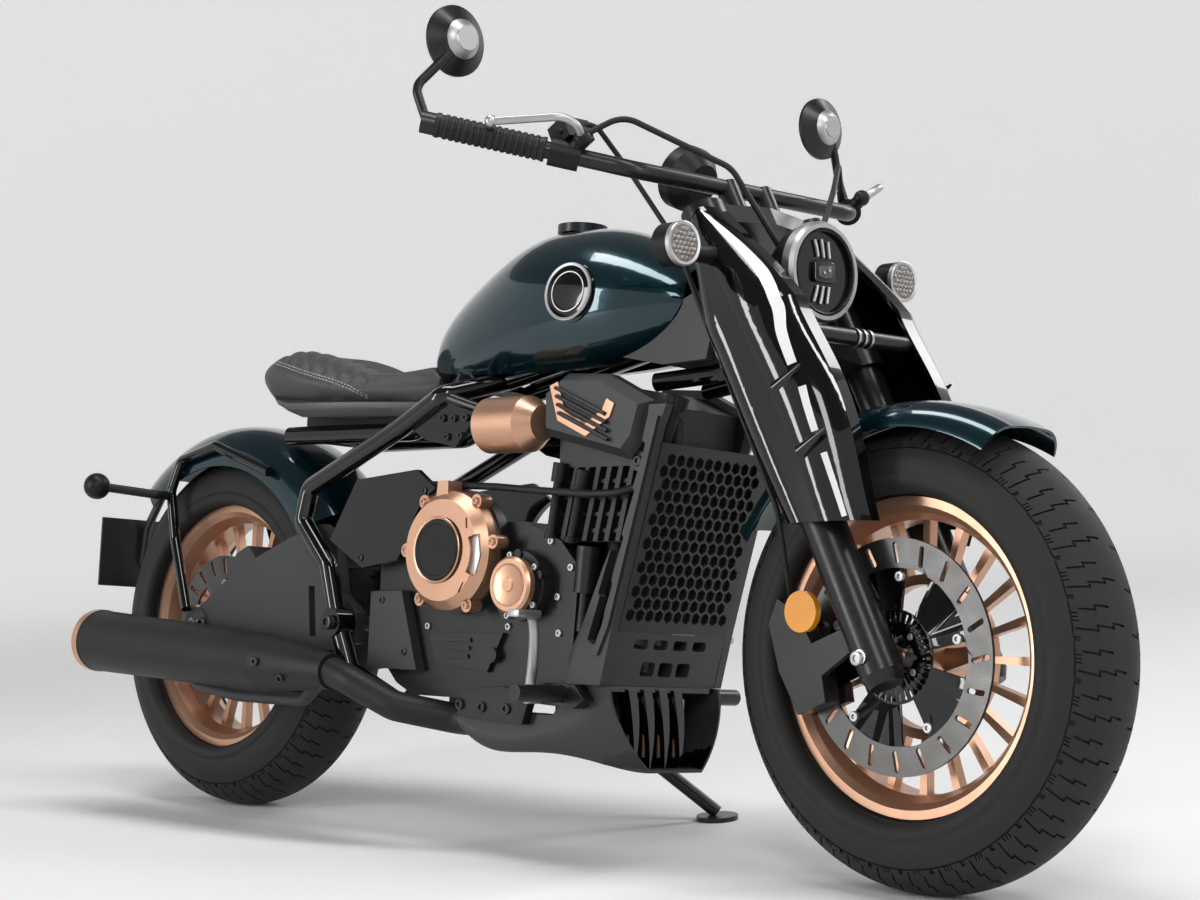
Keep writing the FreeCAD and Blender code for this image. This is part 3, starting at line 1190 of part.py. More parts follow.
def muffler():
    """A turned, hollow can along its own line: outlet stub and recessed end plate, long nose cone."""
    tail = Vector(size.muffler_back, size.muffler_y, size.muffler_tail_height)
    front = Vector(size.muffler_front, size.muffler_y, size.muffler_nose_height)
    length = (front - tail).Length
    wide, neck, wall = size.muffler_radius, size.pipe_radius + 2, size.muffler_wall
    outlet, nose = size.outlet_radius, length + size.muffler_cone
    line = [(outlet, 2), (outlet + wall, 2), (outlet + wall, 14), (wide - wall, 14), (wide - wall, 0),
        (wide - 1, 0), (wide, 8), (wide - 6, length), (neck, nose), (0, nose), (0, nose - wall),
        (neck - wall, nose - wall), (wide - 6 - wall, length - 2), (wide - wall, 14 + wall),
        (outlet, 14 + wall)]
    face = Part.Face(Part.makePolygon([Vector(r, 0, along) for r, along in line + line[:1]]))
    can = face.revolve(Vector(), Vector(0, 0, 1), 360)
    can.Placement = Placement(tail, Rotation(Vector(0, 0, 1), front - tail))
    return can, tail + (front - tail).normalize() * (nose + size.seat_gap)


can_shape, pipe_start = muffler()
shape_piece("muffler", "bike", can_shape)
pipe = rod([pipe_start, pipe_start + Vector(44, 0, -12), (580, -160, 204), (660, -92, 188),
    (800, -88, 188)], size.pipe_radius - 3, 50)
header = rod([(952, -54, 470), (950, -54, 300), (944, -88, 222), (896, -88, 190), (799, -88, 188)],
    size.header_radius, 22)
pipe = pipe.fuse(header).cut(can_shape).cut(pan_shape)
shape_piece("exhaust_pipe", "bike", Part.makeCompound([pipe, flip(header).cut(pan_shape)]))

# Controls

peg = round_bar((940, -149, 240.5), (940, -250, 240.5), 13)
hanger = slab([(964, 220), (984, 234), (962, 255.5), (870, 255.5), (832, 226)],
    -size.pan_half - size.seat_gap, -149.4)
brake_block = slab([(704, 196), (850, 190), (866, 238), (800, 246), (722, 236)],
    -size.pan_half - size.seat_gap, -142)
shape_piece("foot_pegs", "bike", Part.makeCompound([peg.fuse([hanger, brake_block]).cut(pan_shape),
    flip(peg.fuse(hanger)).cut(pan_shape)]))
pedal = rod([(890, -149.7, 238), (890, -172, 238), (908, -178, 290), (925, -200, 352), (925, -240, 356)], 8,
    14)
shifter = rod([(890, 149.7, 238), (890, 172, 238), (912, 178, 284), (930, 200, 330), (930, 240, 332)], 8, 14)
shape_piece("foot_levers", "bike", Part.makeCompound([pedal, shifter]))

# Side stand: modelled deployed, in the bike's frame

def stand():
    pivot = stand_hinge()
    ground = 0.1405 * size.foot_y - 0.8
    foot = Vector(size.foot_x, size.foot_y, ground)
    down = Vector(0, math.sin(math.radians(size.lean_angle)), -math.cos(math.radians(size.lean_angle)))
    pad_top = foot - down * size.foot_thick
    plate = Part.makeCylinder(size.foot_radius, size.foot_thick, foot, down * -1)
    leg = round_bar(pivot, pad_top + Vector(0, 0, 4), size.stand_radius)
    hub = Part.makeCylinder(19, size.stand_hub, pivot - STAND_AXIS * (size.stand_hub / 2), STAND_AXIS)
    bore = Part.makeCylinder(size.stand_pin + size.pin_gap, 60, pivot - STAND_AXIS * 30, STAND_AXIS)
    return leg.fuse([plate, hub]).cut(bore)


shape_piece("side_stand", "bike", stand())

# Placing


def parked():
    """Lean the bike on its stand, lift it so that its tyres touch the ground, centre it."""
    lean = Rotation(Vector(1, 0, 0), -size.lean_angle)
    drop = (size.tyre_radius - size.rear_crown) * math.cos(math.radians(size.lean_angle)) + size.rear_crown
    axle = lean.multVec(Vector(0, 0, size.tyre_radius))
    bar_top = head_point(size.bar_end_height).z
    side = bar_top * math.sin(math.radians(size.lean_angle))
    middle = (size.wheelbase + size.tyre_radius - size.tail_reach) / 2
    return Placement(Vector(-middle, -side, drop - axle.z), lean)


bike = parked()
rake = Placement(Vector(size.wheelbase, 0, size.tyre_radius), Rotation(Vector(0, 1, 0), -size.rake_angle))
turn = Placement(Vector(-size.axis_offset, 0, 0), Rotation()).multiply(Placement(Vector(),
    Rotation(Vector(0, 0, 1), size.steer_angle))).multiply(Placement(Vector(size.axis_offset, 0, 0),
    Rotation()))
steering = bike.multiply(rake).multiply(turn)
front_spin = steering.multiply(Placement(Vector(), Rotation(Vector(0, 1, 0), size.rake_angle)))
GROUPS = {
    "bike": bike,
    "fork": steering,
    "front_wheel": front_spin,
    "rear_wheel": bike.multiply(Placement(Vector(0, 0, size.tyre_radius), Rotation())),
    "front_fender": front_spin.multiply(Placement(Vector(), Rotation(Vector(0, 1, 0), -60))),
    "rear_fender": bike.multiply(Placement(Vector(0, 0, size.tyre_radius), Rotation(Vector(0, 1, 0), -42))),
}
doc.recompute()
for obj, name, group in nodes:
    obj.Placement = GROUPS[group].multiply(obj.Placement)
doc.recompute()

faults = [f"{item.Name}: {item.State}" for item in doc.Objects if "Invalid" in item.State
    or "Error" in item.State]
for obj, name, group in nodes:
    if obj.Shape.isNull() or not obj.Shape.isValid() or not obj.Shape.Solids:
        faults.append(f"{name}: bad shape")
if faults:
    raise RuntimeError("; ".join(faults))

os.makedirs("parts", exist_ok=True)
for obj, name, group in nodes:
    obj.Shape.exportStep(f"parts/{name}.step")
print(len(nodes), "nodes")
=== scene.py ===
import json
import logging
import math
from dataclasses import dataclass
from enum import Enum

import bpy
from mathutils import Matrix, Vector


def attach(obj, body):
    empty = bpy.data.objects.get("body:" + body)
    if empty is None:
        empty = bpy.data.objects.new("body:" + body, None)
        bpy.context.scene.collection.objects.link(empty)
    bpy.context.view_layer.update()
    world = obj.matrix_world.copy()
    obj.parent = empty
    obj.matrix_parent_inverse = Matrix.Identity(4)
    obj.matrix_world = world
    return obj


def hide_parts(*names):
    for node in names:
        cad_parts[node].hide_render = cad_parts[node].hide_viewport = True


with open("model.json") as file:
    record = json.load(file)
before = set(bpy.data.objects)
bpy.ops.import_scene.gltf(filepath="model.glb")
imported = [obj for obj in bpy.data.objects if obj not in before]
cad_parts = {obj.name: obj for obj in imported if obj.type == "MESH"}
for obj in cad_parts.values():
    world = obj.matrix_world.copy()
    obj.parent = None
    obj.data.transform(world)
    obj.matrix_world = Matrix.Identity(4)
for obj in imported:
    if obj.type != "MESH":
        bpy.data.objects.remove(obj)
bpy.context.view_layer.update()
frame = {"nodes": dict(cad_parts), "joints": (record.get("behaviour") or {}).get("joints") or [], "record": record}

logging.basicConfig(level=logging.INFO, format="%(message)s")
LOG = logging.getLogger("cruiser")

Point = tuple[float, float, float]
Point2 = tuple[float, float]
Colour = tuple[float, float, float]

TYRE_RADIUS = 0.320
RAKE = math.radians(28.0)
LEAN = math.radians(-8.0)


class Place(Enum):
    """The frames of reference that pieces are modelled in."""

    BIKE = "bike"
    FORK = "fork"
    FRONT_WHEEL = "front_wheel"
    REAR_WHEEL = "rear_wheel"
    WORLD = "world"


class Body(Enum):
    """The moving bodies of the motorcycle."""

    CHASSIS = "chassis"
    STEERING = "steering"
    FRONT_WHEEL = "front_wheel"
    REAR_WHEEL = "rear_wheel"
    STAND = "side_stand"


def joint_point(name: str) -> Vector:
    """Gives a joint's place at rest.

    Args:
        name: The joint's name in the frame.

    Returns:
        Its point in the row frame, in metres.
    """
    return Vector(next(j["pos_m"] for j in frame["joints"] if j["name"] == name))


def joint_axis(name: str) -> Vector:
    """Gives a joint's direction at rest.

    Args:
        name: The joint's name in the frame.

    Returns:
        Its unit axis in the row frame.
    """
    return Vector(next(j["axis"] for j in frame["joints"] if j["name"] == name)).normalized()


def frame_matrices() -> dict[Place, Matrix]:
    """Works out where each frame of reference lies, from the joints.

    Returns:
        One matrix for each place, from its own metres to the row frame.
    """
    rear, front = joint_point("rear_wheel_axle"), joint_point("front_wheel_axle")
    lean = Matrix.Rotation(LEAN, 4, "X")
    bike = Matrix.Translation(rear - lean @ Vector((0, 0, TYRE_RADIUS))) @ lean
    up, across = joint_axis("steering_head"), joint_axis("front_wheel_axle")
    ahead = across.cross(up)
    fork = Matrix.Translation(front) @ Matrix((ahead, across, up)).transposed().to_4x4()
    spin = fork @ Matrix.Rotation(RAKE, 4, "Y")
    hub = Matrix.Translation(rear) @ lean
    return {Place.BIKE: bike, Place.FORK: fork, Place.FRONT_WHEEL: spin, Place.REAR_WHEEL: hub,
            Place.WORLD: Matrix.Identity(4)}


FRAMES = frame_matrices()


# Finishes

def surface_group() -> bpy.types.NodeTree:
    """Builds the shared group that varies colour, roughness and height over a surface.

    Returns:
        The node group, with a colour, a roughness and a height output.
    """
    group = bpy.data.node_groups.new("surface_variation", "ShaderNodeTree")
    for name, kind, value in (("Colour", "NodeSocketColor", (1, 1, 1, 1)),
            ("Other colour", "NodeSocketColor", (0, 0, 0, 1)), ("Cloud scale", "NodeSocketFloat", 8.0),
            ("Grain scale", "NodeSocketFloat", 400.0), ("Rough low", "NodeSocketFloat", 0.3),
            ("Rough high", "NodeSocketFloat", 0.5)):
        socket = group.interface.new_socket(name=name, in_out="INPUT", socket_type=kind)
        socket.default_value = value
    for name, kind in (("Colour", "NodeSocketColor"), ("Roughness", "NodeSocketFloat"),
            ("Height", "NodeSocketFloat")):
        group.interface.new_socket(name=name, in_out="OUTPUT", socket_type=kind)
    nodes, links = group.nodes, group.links
    inside, outside = nodes.new("NodeGroupInput"), nodes.new("NodeGroupOutput")
    place = nodes.new("ShaderNodeTexCoord")
    cloud, grain = nodes.new("ShaderNodeTexNoise"), nodes.new("ShaderNodeTexNoise")
    cloud.inputs["Detail"].default_value = 4.0
    grain.inputs["Detail"].default_value = 6.0
    for noise, scale in ((cloud, "Cloud scale"), (grain, "Grain scale")):
        links.new(place.outputs["Object"], noise.inputs["Vector"])
        links.new(inside.outputs[scale], noise.inputs["Scale"])
    mix = nodes.new("ShaderNodeMix")
    mix.data_type = "RGBA"
    links.new(cloud.outputs["Fac"], mix.inputs[0])
    links.new(inside.outputs["Colour"], mix.inputs[6])
    links.new(inside.outputs["Other colour"], mix.inputs[7])
    links.new(mix.outputs[2], outside.inputs["Colour"])
    blend = nodes.new("ShaderNodeMath")
    blend.operation = "ADD"
    links.new(cloud.outputs["Fac"], blend.inputs[0])
    links.new(grain.outputs["Fac"], blend.inputs[1])
    spread = nodes.new("ShaderNodeMapRange")
    spread.inputs["From Min"].default_value = 0.7
    spread.inputs["From Max"].default_value = 1.3
    links.new(blend.outputs[0], spread.inputs["Value"])
    links.new(inside.outputs["Rough low"], spread.inputs["To Min"])
    links.new(inside.outputs["Rough high"], spread.inputs["To Max"])
    links.new(spread.outputs[0], outside.inputs["Roughness"])
    links.new(grain.outputs["Fac"], outside.inputs["Height"])
    return group


SURFACE = surface_group()


@dataclass(frozen=True)
class Finish:
    """A surface finish: two close colours, a band of roughness, and its grain."""

    name: str
    colour: Colour
    other: Colour
    rough: tuple[float, float] = (0.35, 0.5)
    metal: float = 0.0
    coat: float = 0.0
    coat_rough: float = 0.05
    cloud: float = 9.0
    grain: float = 500.0
    depth: float = 0.05
    distance: float = 0.0004
    specular: float = 0.5
    coat_ior: float = 1.5

    def material(self) -> bpy.types.Material:
        """Gives the finish as a material, made once.

        Returns:
            The material of this finish.
        """
        label = self.name + "_finish"
        found = bpy.data.materials.get(label)
        if found:
            return found
        made = bpy.data.materials.new(label)
        made.use_nodes = True
        tree = made.node_tree
        shader = tree.nodes["Principled BSDF"]
        group = tree.nodes.new("ShaderNodeGroup")
        group.node_tree = SURFACE
        group.inputs["Colour"].default_value = (*self.colour, 1)
        group.inputs["Other colour"].default_value = (*self.other, 1)
        group.inputs["Cloud scale"].default_value = self.cloud
        group.inputs["Grain scale"].default_value = self.grain
        group.inputs["Rough low"].default_value = self.rough[0]
        group.inputs["Rough high"].default_value = self.rough[1]
        shader.inputs["Metallic"].default_value = self.metal
        shader.inputs["Coat Weight"].default_value = self.coat
        shader.inputs["Coat Roughness"].default_value = self.coat_rough
        shader.inputs["Specular IOR Level"].default_value = self.specular
        shader.inputs["Coat IOR"].default_value = self.coat_ior
        bump = tree.nodes.new("ShaderNodeBump")
        bump.inputs["Strength"].default_value = self.depth
        bump.inputs["Distance"].default_value = self.distance
        tree.links.new(group.outputs["Colour"], shader.inputs["Base Color"])
        tree.links.new(group.outputs["Roughness"], shader.inputs["Roughness"])
        tree.links.new(group.outputs["Height"], bump.inputs["Height"])
        tree.links.new(bump.outputs["Normal"], shader.inputs["Normal"])
        self.extend(tree, shader, group, bump)
        return made

    def extend(self, tree: bpy.types.NodeTree, shader: bpy.types.Node, group: bpy.types.Node,
               bump: bpy.types.Node) -> None:
        """Adds what a special finish has beyond the plain one."""


TANK_PAINT = Finish("tank_paint", (0.0022, 0.034, 0.042), (0.0014, 0.012, 0.022), (0.14, 0.24), 0.6, 1.0,
    0.02, 5, 2400, 0.04, specular=0.2, coat_ior=1.45)
GLOSS_BLACK = Finish("gloss_black", (0.0014, 0.0014, 0.0015), (0.0026, 0.0026, 0.0028), (0.10, 0.16), 0.0,
    1.0, 0.015, 6, 900, 0.01, specular=0.1, coat_ior=1.45)
BLACK_METAL = Finish("black_metal", (0.006, 0.006, 0.0065), (0.011, 0.011, 0.012), (0.24, 0.36), 0.0, 0.0,
    0.1, 14, 1200, 0.08, specular=0.35)
ENGINE_BLACK = Finish("engine_black", (0.007, 0.007, 0.0075), (0.014, 0.014, 0.015), (0.32, 0.46), 0.0, 0.0,
    0.1, 18, 1600, 0.22, specular=0.35)
GREY_PANEL = Finish("grey_panel", (0.024, 0.0245, 0.027), (0.034, 0.0345, 0.037), (0.38, 0.50), 0.0, 0.0,
    0.1, 10, 2200, 0.14, specular=0.35)
COPPER = Finish("copper", (0.60, 0.350, 0.235), (0.52, 0.295, 0.190), (0.28, 0.40), 0.8, 0.1, 0.15, 20,
    1500, 0.06)
TYRE_RUBBER = Finish("tyre_rubber", (0.012, 0.012, 0.012), (0.022, 0.022, 0.021), (0.56, 0.74), 0.0, 0.0,
    0.1, 22, 1100, 0.25, specular=0.25)
RUBBER = Finish("rubber", (0.006, 0.006, 0.006), (0.012, 0.012, 0.012), (0.44, 0.62), 0.0, 0.0, 0.1, 30,
    1500, 0.2, specular=0.3)
SEAT_LEATHER = Finish("seat_leather", (0.030, 0.030, 0.033), (0.042, 0.042, 0.046), (0.46, 0.62), 0.0, 0.0,
    0.1, 24, 1400, 0.35, 0.0004)
DISC_STEEL = Finish("disc_steel", (0.115, 0.113, 0.110), (0.070, 0.069, 0.067), (0.26, 0.38), 0.8, 0.0, 0.1,
    30, 900, 0.08)
LAMP_FACE = Finish("lamp_face", (0.004, 0.004, 0.0045), (0.008, 0.008, 0.009), (0.10, 0.16), 0.0, 0.3, 0.02,
    30, 600, 0.02, 0.0004, 0.3)
GRILLE_BLACK = Finish("grille_black", (0.006, 0.006, 0.007), (0.012, 0.012, 0.013), (0.42, 0.56), 0.0, 0.0,
    0.1, 18, 1600, 0.15)
CORE_BLACK = Finish("core_black", (0.004, 0.004, 0.004), (0.009, 0.009, 0.009), (0.55, 0.70), 0.0, 0.0, 0.1,
    18, 1600, 0.2, 0.0004, 0.3)
BRIGHT_STEEL = Finish("bright_steel", (0.62, 0.61, 0.60), (0.48, 0.47, 0.46), (0.16, 0.30), 1.0, 0.0, 0.1,
    30, 1800, 0.04)
# Silver metal, also used for the painted reflection on the clutch cover.
SILVER_AND_PAINTED_REFLECTION = Finish("silver", (0.46, 0.46, 0.47), (0.36, 0.36, 0.37), (0.32, 0.46), 0.9, 0.0, 0.1, 24, 2600, 0.10)
MUFFLER_BLACK = Finish("muffler_black", (0.009, 0.0088, 0.0085), (0.016, 0.0155, 0.015), (0.42, 0.54), 0.0,
    0.0, 0.1, 12, 2600, 0.12, specular=0.25)
AMBER = Finish("amber", (0.86, 0.36, 0.01), (0.66, 0.22, 0.004), (0.15, 0.25), 0.0, 0.8, 0.05, 40, 700, 0.3)
CLEAR_LENS = Finish("clear_lens", (0.012, 0.012, 0.013), (0.06, 0.06, 0.065), (0.05, 0.10), 0.0, 1.0, 0.02,
    120, 600, 0.03)
SIGNAL_LENS = Finish("signal_lens", (0.26, 0.235, 0.22), (0.12, 0.10, 0.09), (0.06, 0.12), 0.5, 1.0, 0.02,
    90, 600, 0.05)
# Pale finish of the light bars, also used for the painted glints on the projector's lens.
LIGHT_BAR_AND_PAINTED_GLINT = Finish("light_bar_and_painted_glint", (0.55, 0.55, 0.56), (0.38, 0.38, 0.39), (0.12, 0.2), 0.2, 0.6, 0.04, 60,
    700, 0.03)
MIRROR_GLASS = Finish("mirror_glass", (0.72, 0.73, 0.74), (0.68, 0.69, 0.70), (0.03, 0.06), 1.0, 0.0, 0.02,
    6, 500, 0.0)
SCREW_BLACK = Finish("screw_black", (0.020, 0.020, 0.021), (0.040, 0.040, 0.042), (0.25, 0.38), 0.6, 0.0,
    0.1, 40, 1800, 0.08)
BRONZE = Finish("bronze", (0.62, 0.41, 0.30), (0.50, 0.32, 0.22), (0.22, 0.32), 0.95, 0.0, 0.1, 30, 1800,
    0.06)
SEAT_PAN = Finish("seat_pan", (0.075, 0.076, 0.080), (0.055, 0.056, 0.060), (0.40, 0.52), 0.0, 0.0, 0.1, 12,
    2200, 0.10)
THREAD = Finish("pale_thread", (0.42, 0.41, 0.39), (0.34, 0.33, 0.31), (0.6, 0.75), 0.0, 0.0, 0.1, 90, 3000,
    0.4)
PLATE_BLACK = Finish("plate_black", (0.008, 0.008, 0.009), (0.014, 0.014, 0.015), (0.35, 0.5), 0.0, 0.2,
    0.1, 12, 700, 0.05)
BLACK_PLASTIC = Finish("black_plastic", (0.005, 0.005, 0.0055), (0.009, 0.009, 0.010), (0.32, 0.46), 0.0,
    0.0, 0.1, 16, 2600, 0.15, specular=0.2)
PAPER_WHITE = Finish("stripe_white", (0.78, 0.78, 0.78), (0.70, 0.70, 0.70), (0.2, 0.3), 0.0, 0.8, 0.04, 10,
    700, 0.02)
FINISHES = {f.name: f for f in (TANK_PAINT, GLOSS_BLACK, BLACK_METAL, ENGINE_BLACK, GREY_PANEL, COPPER,
    TYRE_RUBBER, RUBBER, SEAT_LEATHER, DISC_STEEL, BRIGHT_STEEL, SILVER_AND_PAINTED_REFLECTION, MUFFLER_BLACK, AMBER, CLEAR_LENS,
    PLATE_BLACK, BLACK_PLASTIC)}
NODE_FINISH: dict[str, Finish] = {"headlamp_glass": LAMP_FACE, "grille": GRILLE_BLACK, "radiator": CORE_BLACK}


# Modelling by hand

def deselect() -> None:
    """Leaves nothing selected."""
    if bpy.context.object and bpy.context.object.mode != "OBJECT":
        bpy.ops.object.mode_set(mode="OBJECT")
    bpy.ops.object.select_all(action="DESELECT")


def pick(*objects: bpy.types.Object) -> None:
    """Selects these objects alone, the first of them active."""
    deselect()
    for one in objects:
        one.select_set(True)
    bpy.context.view_layer.objects.active = objects[0]


def modify(piece: bpy.types.Object, kind: str, **values: object) -> bpy.types.Object:
    """Adds a modifier to a piece and applies it.

    Args:
        piece: The piece that it works on.
        kind: The modifier's type.
        **values: The modifier's settings.

    Returns:
        The same piece.
    """
    modifier = piece.modifiers.new(kind.lower(), kind)
    for key, value in values.items():
        setattr(modifier, key, value)
    pick(piece)
    bpy.ops.object.modifier_apply(modifier=modifier.name)
    return piece


def smooth(piece: bpy.types.Object, degrees: float = 32.0) -> bpy.types.Object:
    """Shades a piece smooth, but for its edges sharper than an angle."""
    pick(piece)
    bpy.ops.object.shade_smooth_by_angle(angle=math.radians(degrees))
    return piece


def join(pieces: list[bpy.types.Object], name: str) -> bpy.types.Object:
    """Joins pieces into one.

    Args:
        pieces: The pieces, of which the first one stays.
        name: The name that the joined piece gets.

    Returns:
        The joined piece.
    """
    pick(*pieces)
    if len(pieces) > 1:
        bpy.ops.object.join()
    pieces[0].name = name
    pieces[0].data.name = name
    return pieces[0]


def outward(piece: bpy.types.Object, merge: float = 0.00005) -> bpy.types.Object:
    """Merges a mesh's doubled points and turns its faces outwards."""
    pick(piece)
    bpy.ops.object.mode_set(mode="EDIT")
    bpy.ops.mesh.select_all(action="SELECT")
    bpy.ops.mesh.remove_doubles(threshold=merge)
    bpy.ops.mesh.normals_make_consistent(inside=False)
    bpy.ops.object.mode_set(mode="OBJECT")
    return piece


def settle(piece: bpy.types.Object, place: Place) -> bpy.types.Object:
    """Moves a piece's mesh from its own frame to the row frame, with its object at the origin."""
    piece.data.transform(FRAMES[place] @ piece.matrix_world)
    piece.matrix_world = Matrix.Identity(4)
    return piece


def hand_over(piece: bpy.types.Object, body: Body, finish: Finish | None = None,
              replaces: tuple[str, ...] = ()) -> bpy.types.Object:
    """Dresses a finished piece, and lets it ride on its body.

    Args:
        piece: The finished piece, in the row frame.
        body: The body that it moves with.
        finish: Its finish, unless it has its materials already.
        replaces: The solids that it stands for.

    Returns:
        The same piece.
    """
    if finish:
        piece.data.materials.clear()
        piece.data.materials.append(finish.material())
    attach(piece, body.value)
    if replaces:
        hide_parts(*replaces)
    LOG.info("%s: %d faces on %s", piece.name, len(piece.data.polygons), body.value)
    return piece


@dataclass
class Carried:
    """A solid of the frame, refined: merged, its edges softened, and dressed."""

    node: str
    slot: str
    finish: Finish
    edge: float = 0.0012
    angle: float = 30.0

    def build(self) -> bpy.types.Object:
        """Copies the solid's mesh, softens its edges and dresses it.

        Returns:
            The refined piece, which stands for the solid.
        """
        source = frame["nodes"][self.node]
        piece = bpy.data.objects.new(self.node + "_skin", source.data.copy())
        bpy.context.scene.collection.objects.link(piece)
        pick(piece)
        bpy.ops.object.mode_set(mode="EDIT")
        bpy.ops.mesh.select_all(action="SELECT")
        bpy.ops.mesh.remove_doubles(threshold=0.00002)
        bpy.ops.mesh.tris_convert_to_quads(face_threshold=0.02, shape_threshold=0.7)
        bpy.ops.mesh.dissolve_limited(angle_limit=math.radians(0.6))
        bpy.ops.object.mode_set(mode="OBJECT")
        if self.edge:
            modify(piece, "BEVEL", width=self.edge, segments=2, limit_method="ANGLE",
                   angle_limit=math.radians(self.angle), use_clamp_overlap=True, harden_normals=False)
        smooth(piece)
        modify(piece, "WEIGHTED_NORMAL", weight=100, keep_sharp=True)
        body = next(b for b in Body if self.node in frame["record"]["behaviour"]["bodies"][b.value])
        return hand_over(piece, body, self.finish, (self.node,))


@dataclass
class TwoTone(Carried):
    """A refined solid with a second finish where it lies inside a box of its own frame."""

    place: Place = Place.BIKE
    second: Finish = BLACK_METAL
    low: Point = (-9.0, -9.0, -9.0)
    high: Point = (9.0, 9.0, 9.0)
    ring: tuple[float, float] = (0.0, 9.0)

    def build(self) -> bpy.types.Object:
        """Builds the piece, and gives the second finish to the faces in the box and the ring.

        Returns:
            The refined piece with both finishes.
        """
        piece = super().build()
        piece.data.materials.append(self.second.material())
        into = FRAMES[self.place].inverted()
        for face in piece.data.polygons:
            spot = into @ face.center
            inside = all(a <= v <= b for a, v, b in zip(self.low, spot, self.high))
            if inside and self.ring[0] <= math.hypot(spot.x, spot.z) <= self.ring[1]:
                face.material_index = 1
        return piece


@dataclass
class FrontDisc:
    """The front disc: a steel braking ring on a black carrier."""

    seam: float = 0.1195

    def part(self, label: str, operation: str, finish: Finish, replaces: tuple[str, ...]) -> bpy.types.Object:
        """Parts the disc's solid at the seam, and keeps one side of it.

        Args:
            label: The name of the part.
            operation: What the round plug does to the solid.
            finish: The part's finish.
            replaces: The nodes that the part stands for.

        Returns:
            The part, dressed.
        """
        piece = bpy.data.objects.new(label, frame["nodes"]["front_disc"].data.copy())
        bpy.context.scene.collection.objects.link(piece)
        pick(piece)
        bpy.ops.object.mode_set(mode="EDIT")
        bpy.ops.mesh.select_all(action="SELECT")
        bpy.ops.mesh.remove_doubles(threshold=0.00002)
        bpy.ops.object.mode_set(mode="OBJECT")
        plug = turned([(-0.2, 0.00001), (-0.2, self.seam), (0.2, self.seam), (0.2, 0.00001)], "plug", 96)
        settle(plug, Place.FRONT_WHEEL)
        modify(piece, "BOOLEAN", operation=operation, object=plug, solver="EXACT")
        bpy.data.objects.remove(plug)
        smooth(piece)
        return hand_over(piece, Body.FRONT_WHEEL, finish, replaces)

    def build(self) -> None:
        """Builds the carrier and the braking ring."""
        self.part("front_carrier", "INTERSECT", GLOSS_BLACK, ("front_disc",))
        self.part("front_braking_ring", "DIFFERENCE", DISC_STEEL, ())


# Shapes that several pieces share

def arc(first: Point2, through: Point2, last: Point2, steps: int) -> list[Point2]:
    """Gives points on the arc through three points.

    Args:
        first: The arc's start.
        through: A point on the arc.
        last: The arc's end.
        steps: How many parts the arc is divided in.

    Returns:
        The points, with both ends.
    """
    (ax, ay), (bx, by), (cx, cy) = first, through, last
    d = 2 * (ax * (by - cy) + bx * (cy - ay) + cx * (ay - by))
    ux = ((ax * ax + ay * ay) * (by - cy) + (bx * bx + by * by) * (cy - ay) + (cx * cx + cy * cy)
        * (ay - by)) / d
    uy = ((ax * ax + ay * ay) * (cx - bx) + (bx * bx + by * by) * (ax - cx) + (cx * cx + cy * cy)
        * (bx - ax)) / d
    radius = math.hypot(ax - ux, ay - uy)
    start, middle, end = (math.atan2(y - uy, x - ux) for x, y in (first, through, last))
    turn = (end - start) % math.tau
    if (middle - start) % math.tau > turn:
        turn -= math.tau
    return [(ux + radius * math.cos(start + turn * i / steps),
        uy + radius * math.sin(start + turn * i / steps)) for i in range(steps + 1)]


def turned(section: list[Point2], name: str, steps: int = 64) -> bpy.types.Object:
    """Spins a closed section round the Y axis.

    Args:
        section: Pairs of a place along Y and a radius, in metres.
        name: The piece's name.
        steps: How many steps the full turn has.

    Returns:
        The turned piece, closed and facing outwards.
    """
    deselect()
    bpy.ops.mesh.primitive_circle_add(vertices=len(section), radius=0.01, fill_type="NOTHING")
    piece = bpy.context.object
    piece.name = name
    for vertex, (along, radius) in zip(piece.data.vertices, section):
        vertex.co = (0, along, radius)
    bpy.ops.object.mode_set(mode="EDIT")
    bpy.ops.mesh.select_all(action="SELECT")
    bpy.ops.mesh.spin(steps=steps, angle=math.tau, center=(0, 0, 0), axis=(0, 1, 0))
    bpy.ops.object.mode_set(mode="OBJECT")
    return outward(piece)


def aimed(piece: bpy.types.Object, spot: Point, towards: Point) -> bpy.types.Object:
    """Turns a piece's Y axis to a direction and moves it to a spot, in its mesh."""
    turn = Vector(towards).to_track_quat("Y", "Z").to_matrix().to_4x4()
    piece.data.transform(Matrix.Translation(spot) @ turn @ piece.matrix_world)
    piece.matrix_world = Matrix.Identity(4)
    return piece


def button(radius: float, height: float, name: str, round_off: float = 0.3) -> bpy.types.Object:
    """Turns a low round head with a softened edge, standing on the origin along Y."""
    soft = height * round_off
    return turned([(0, 0.00001), (0, radius), (height - soft, radius),
        (height - soft * 0.3, radius - soft * 0.3), (height, radius - soft), (height, 0.00001)], name, 20)


def screw(radius: float, height: float, name: str = "screw") -> bpy.types.Object:
    """Turns a cap screw's head with its socket, standing on the origin along Y."""
    hole = radius * 0.5
    return turned([(0, 0.00001), (0, radius), (height * 0.85, radius), (height, radius * 0.86),
        (height, hole), (height * 0.4, hole), (height * 0.4, 0.00001)], name, 18)


def screws(spots: list[tuple[Point, Point]], radius: float, height: float, name: str, place: Place,
        body: Body, finish: Finish) -> bpy.types.Object:
    """Models one screw and sets copies of it.

    Args:
        spots: Each screw's foot and direction, in metres in its frame of reference.
        radius: The head's radius.
        height: The head's height.
        name: The joined piece's name.
        place: The frame of reference.
        body: The body that they ride on.
        finish: Their finish.

    Returns:
        The joined screws.
    """
    first = screw(radius, height)
    copies = []
    for spot, towards in spots:
        copy = first.copy()
        copy.data = first.data.copy()
        bpy.context.scene.collection.objects.link(copy)
        copies.append(aimed(copy, spot, towards))
    bpy.data.objects.remove(first)
    piece = smooth(join(copies, name))
    return hand_over(settle(piece, place), body, finish)


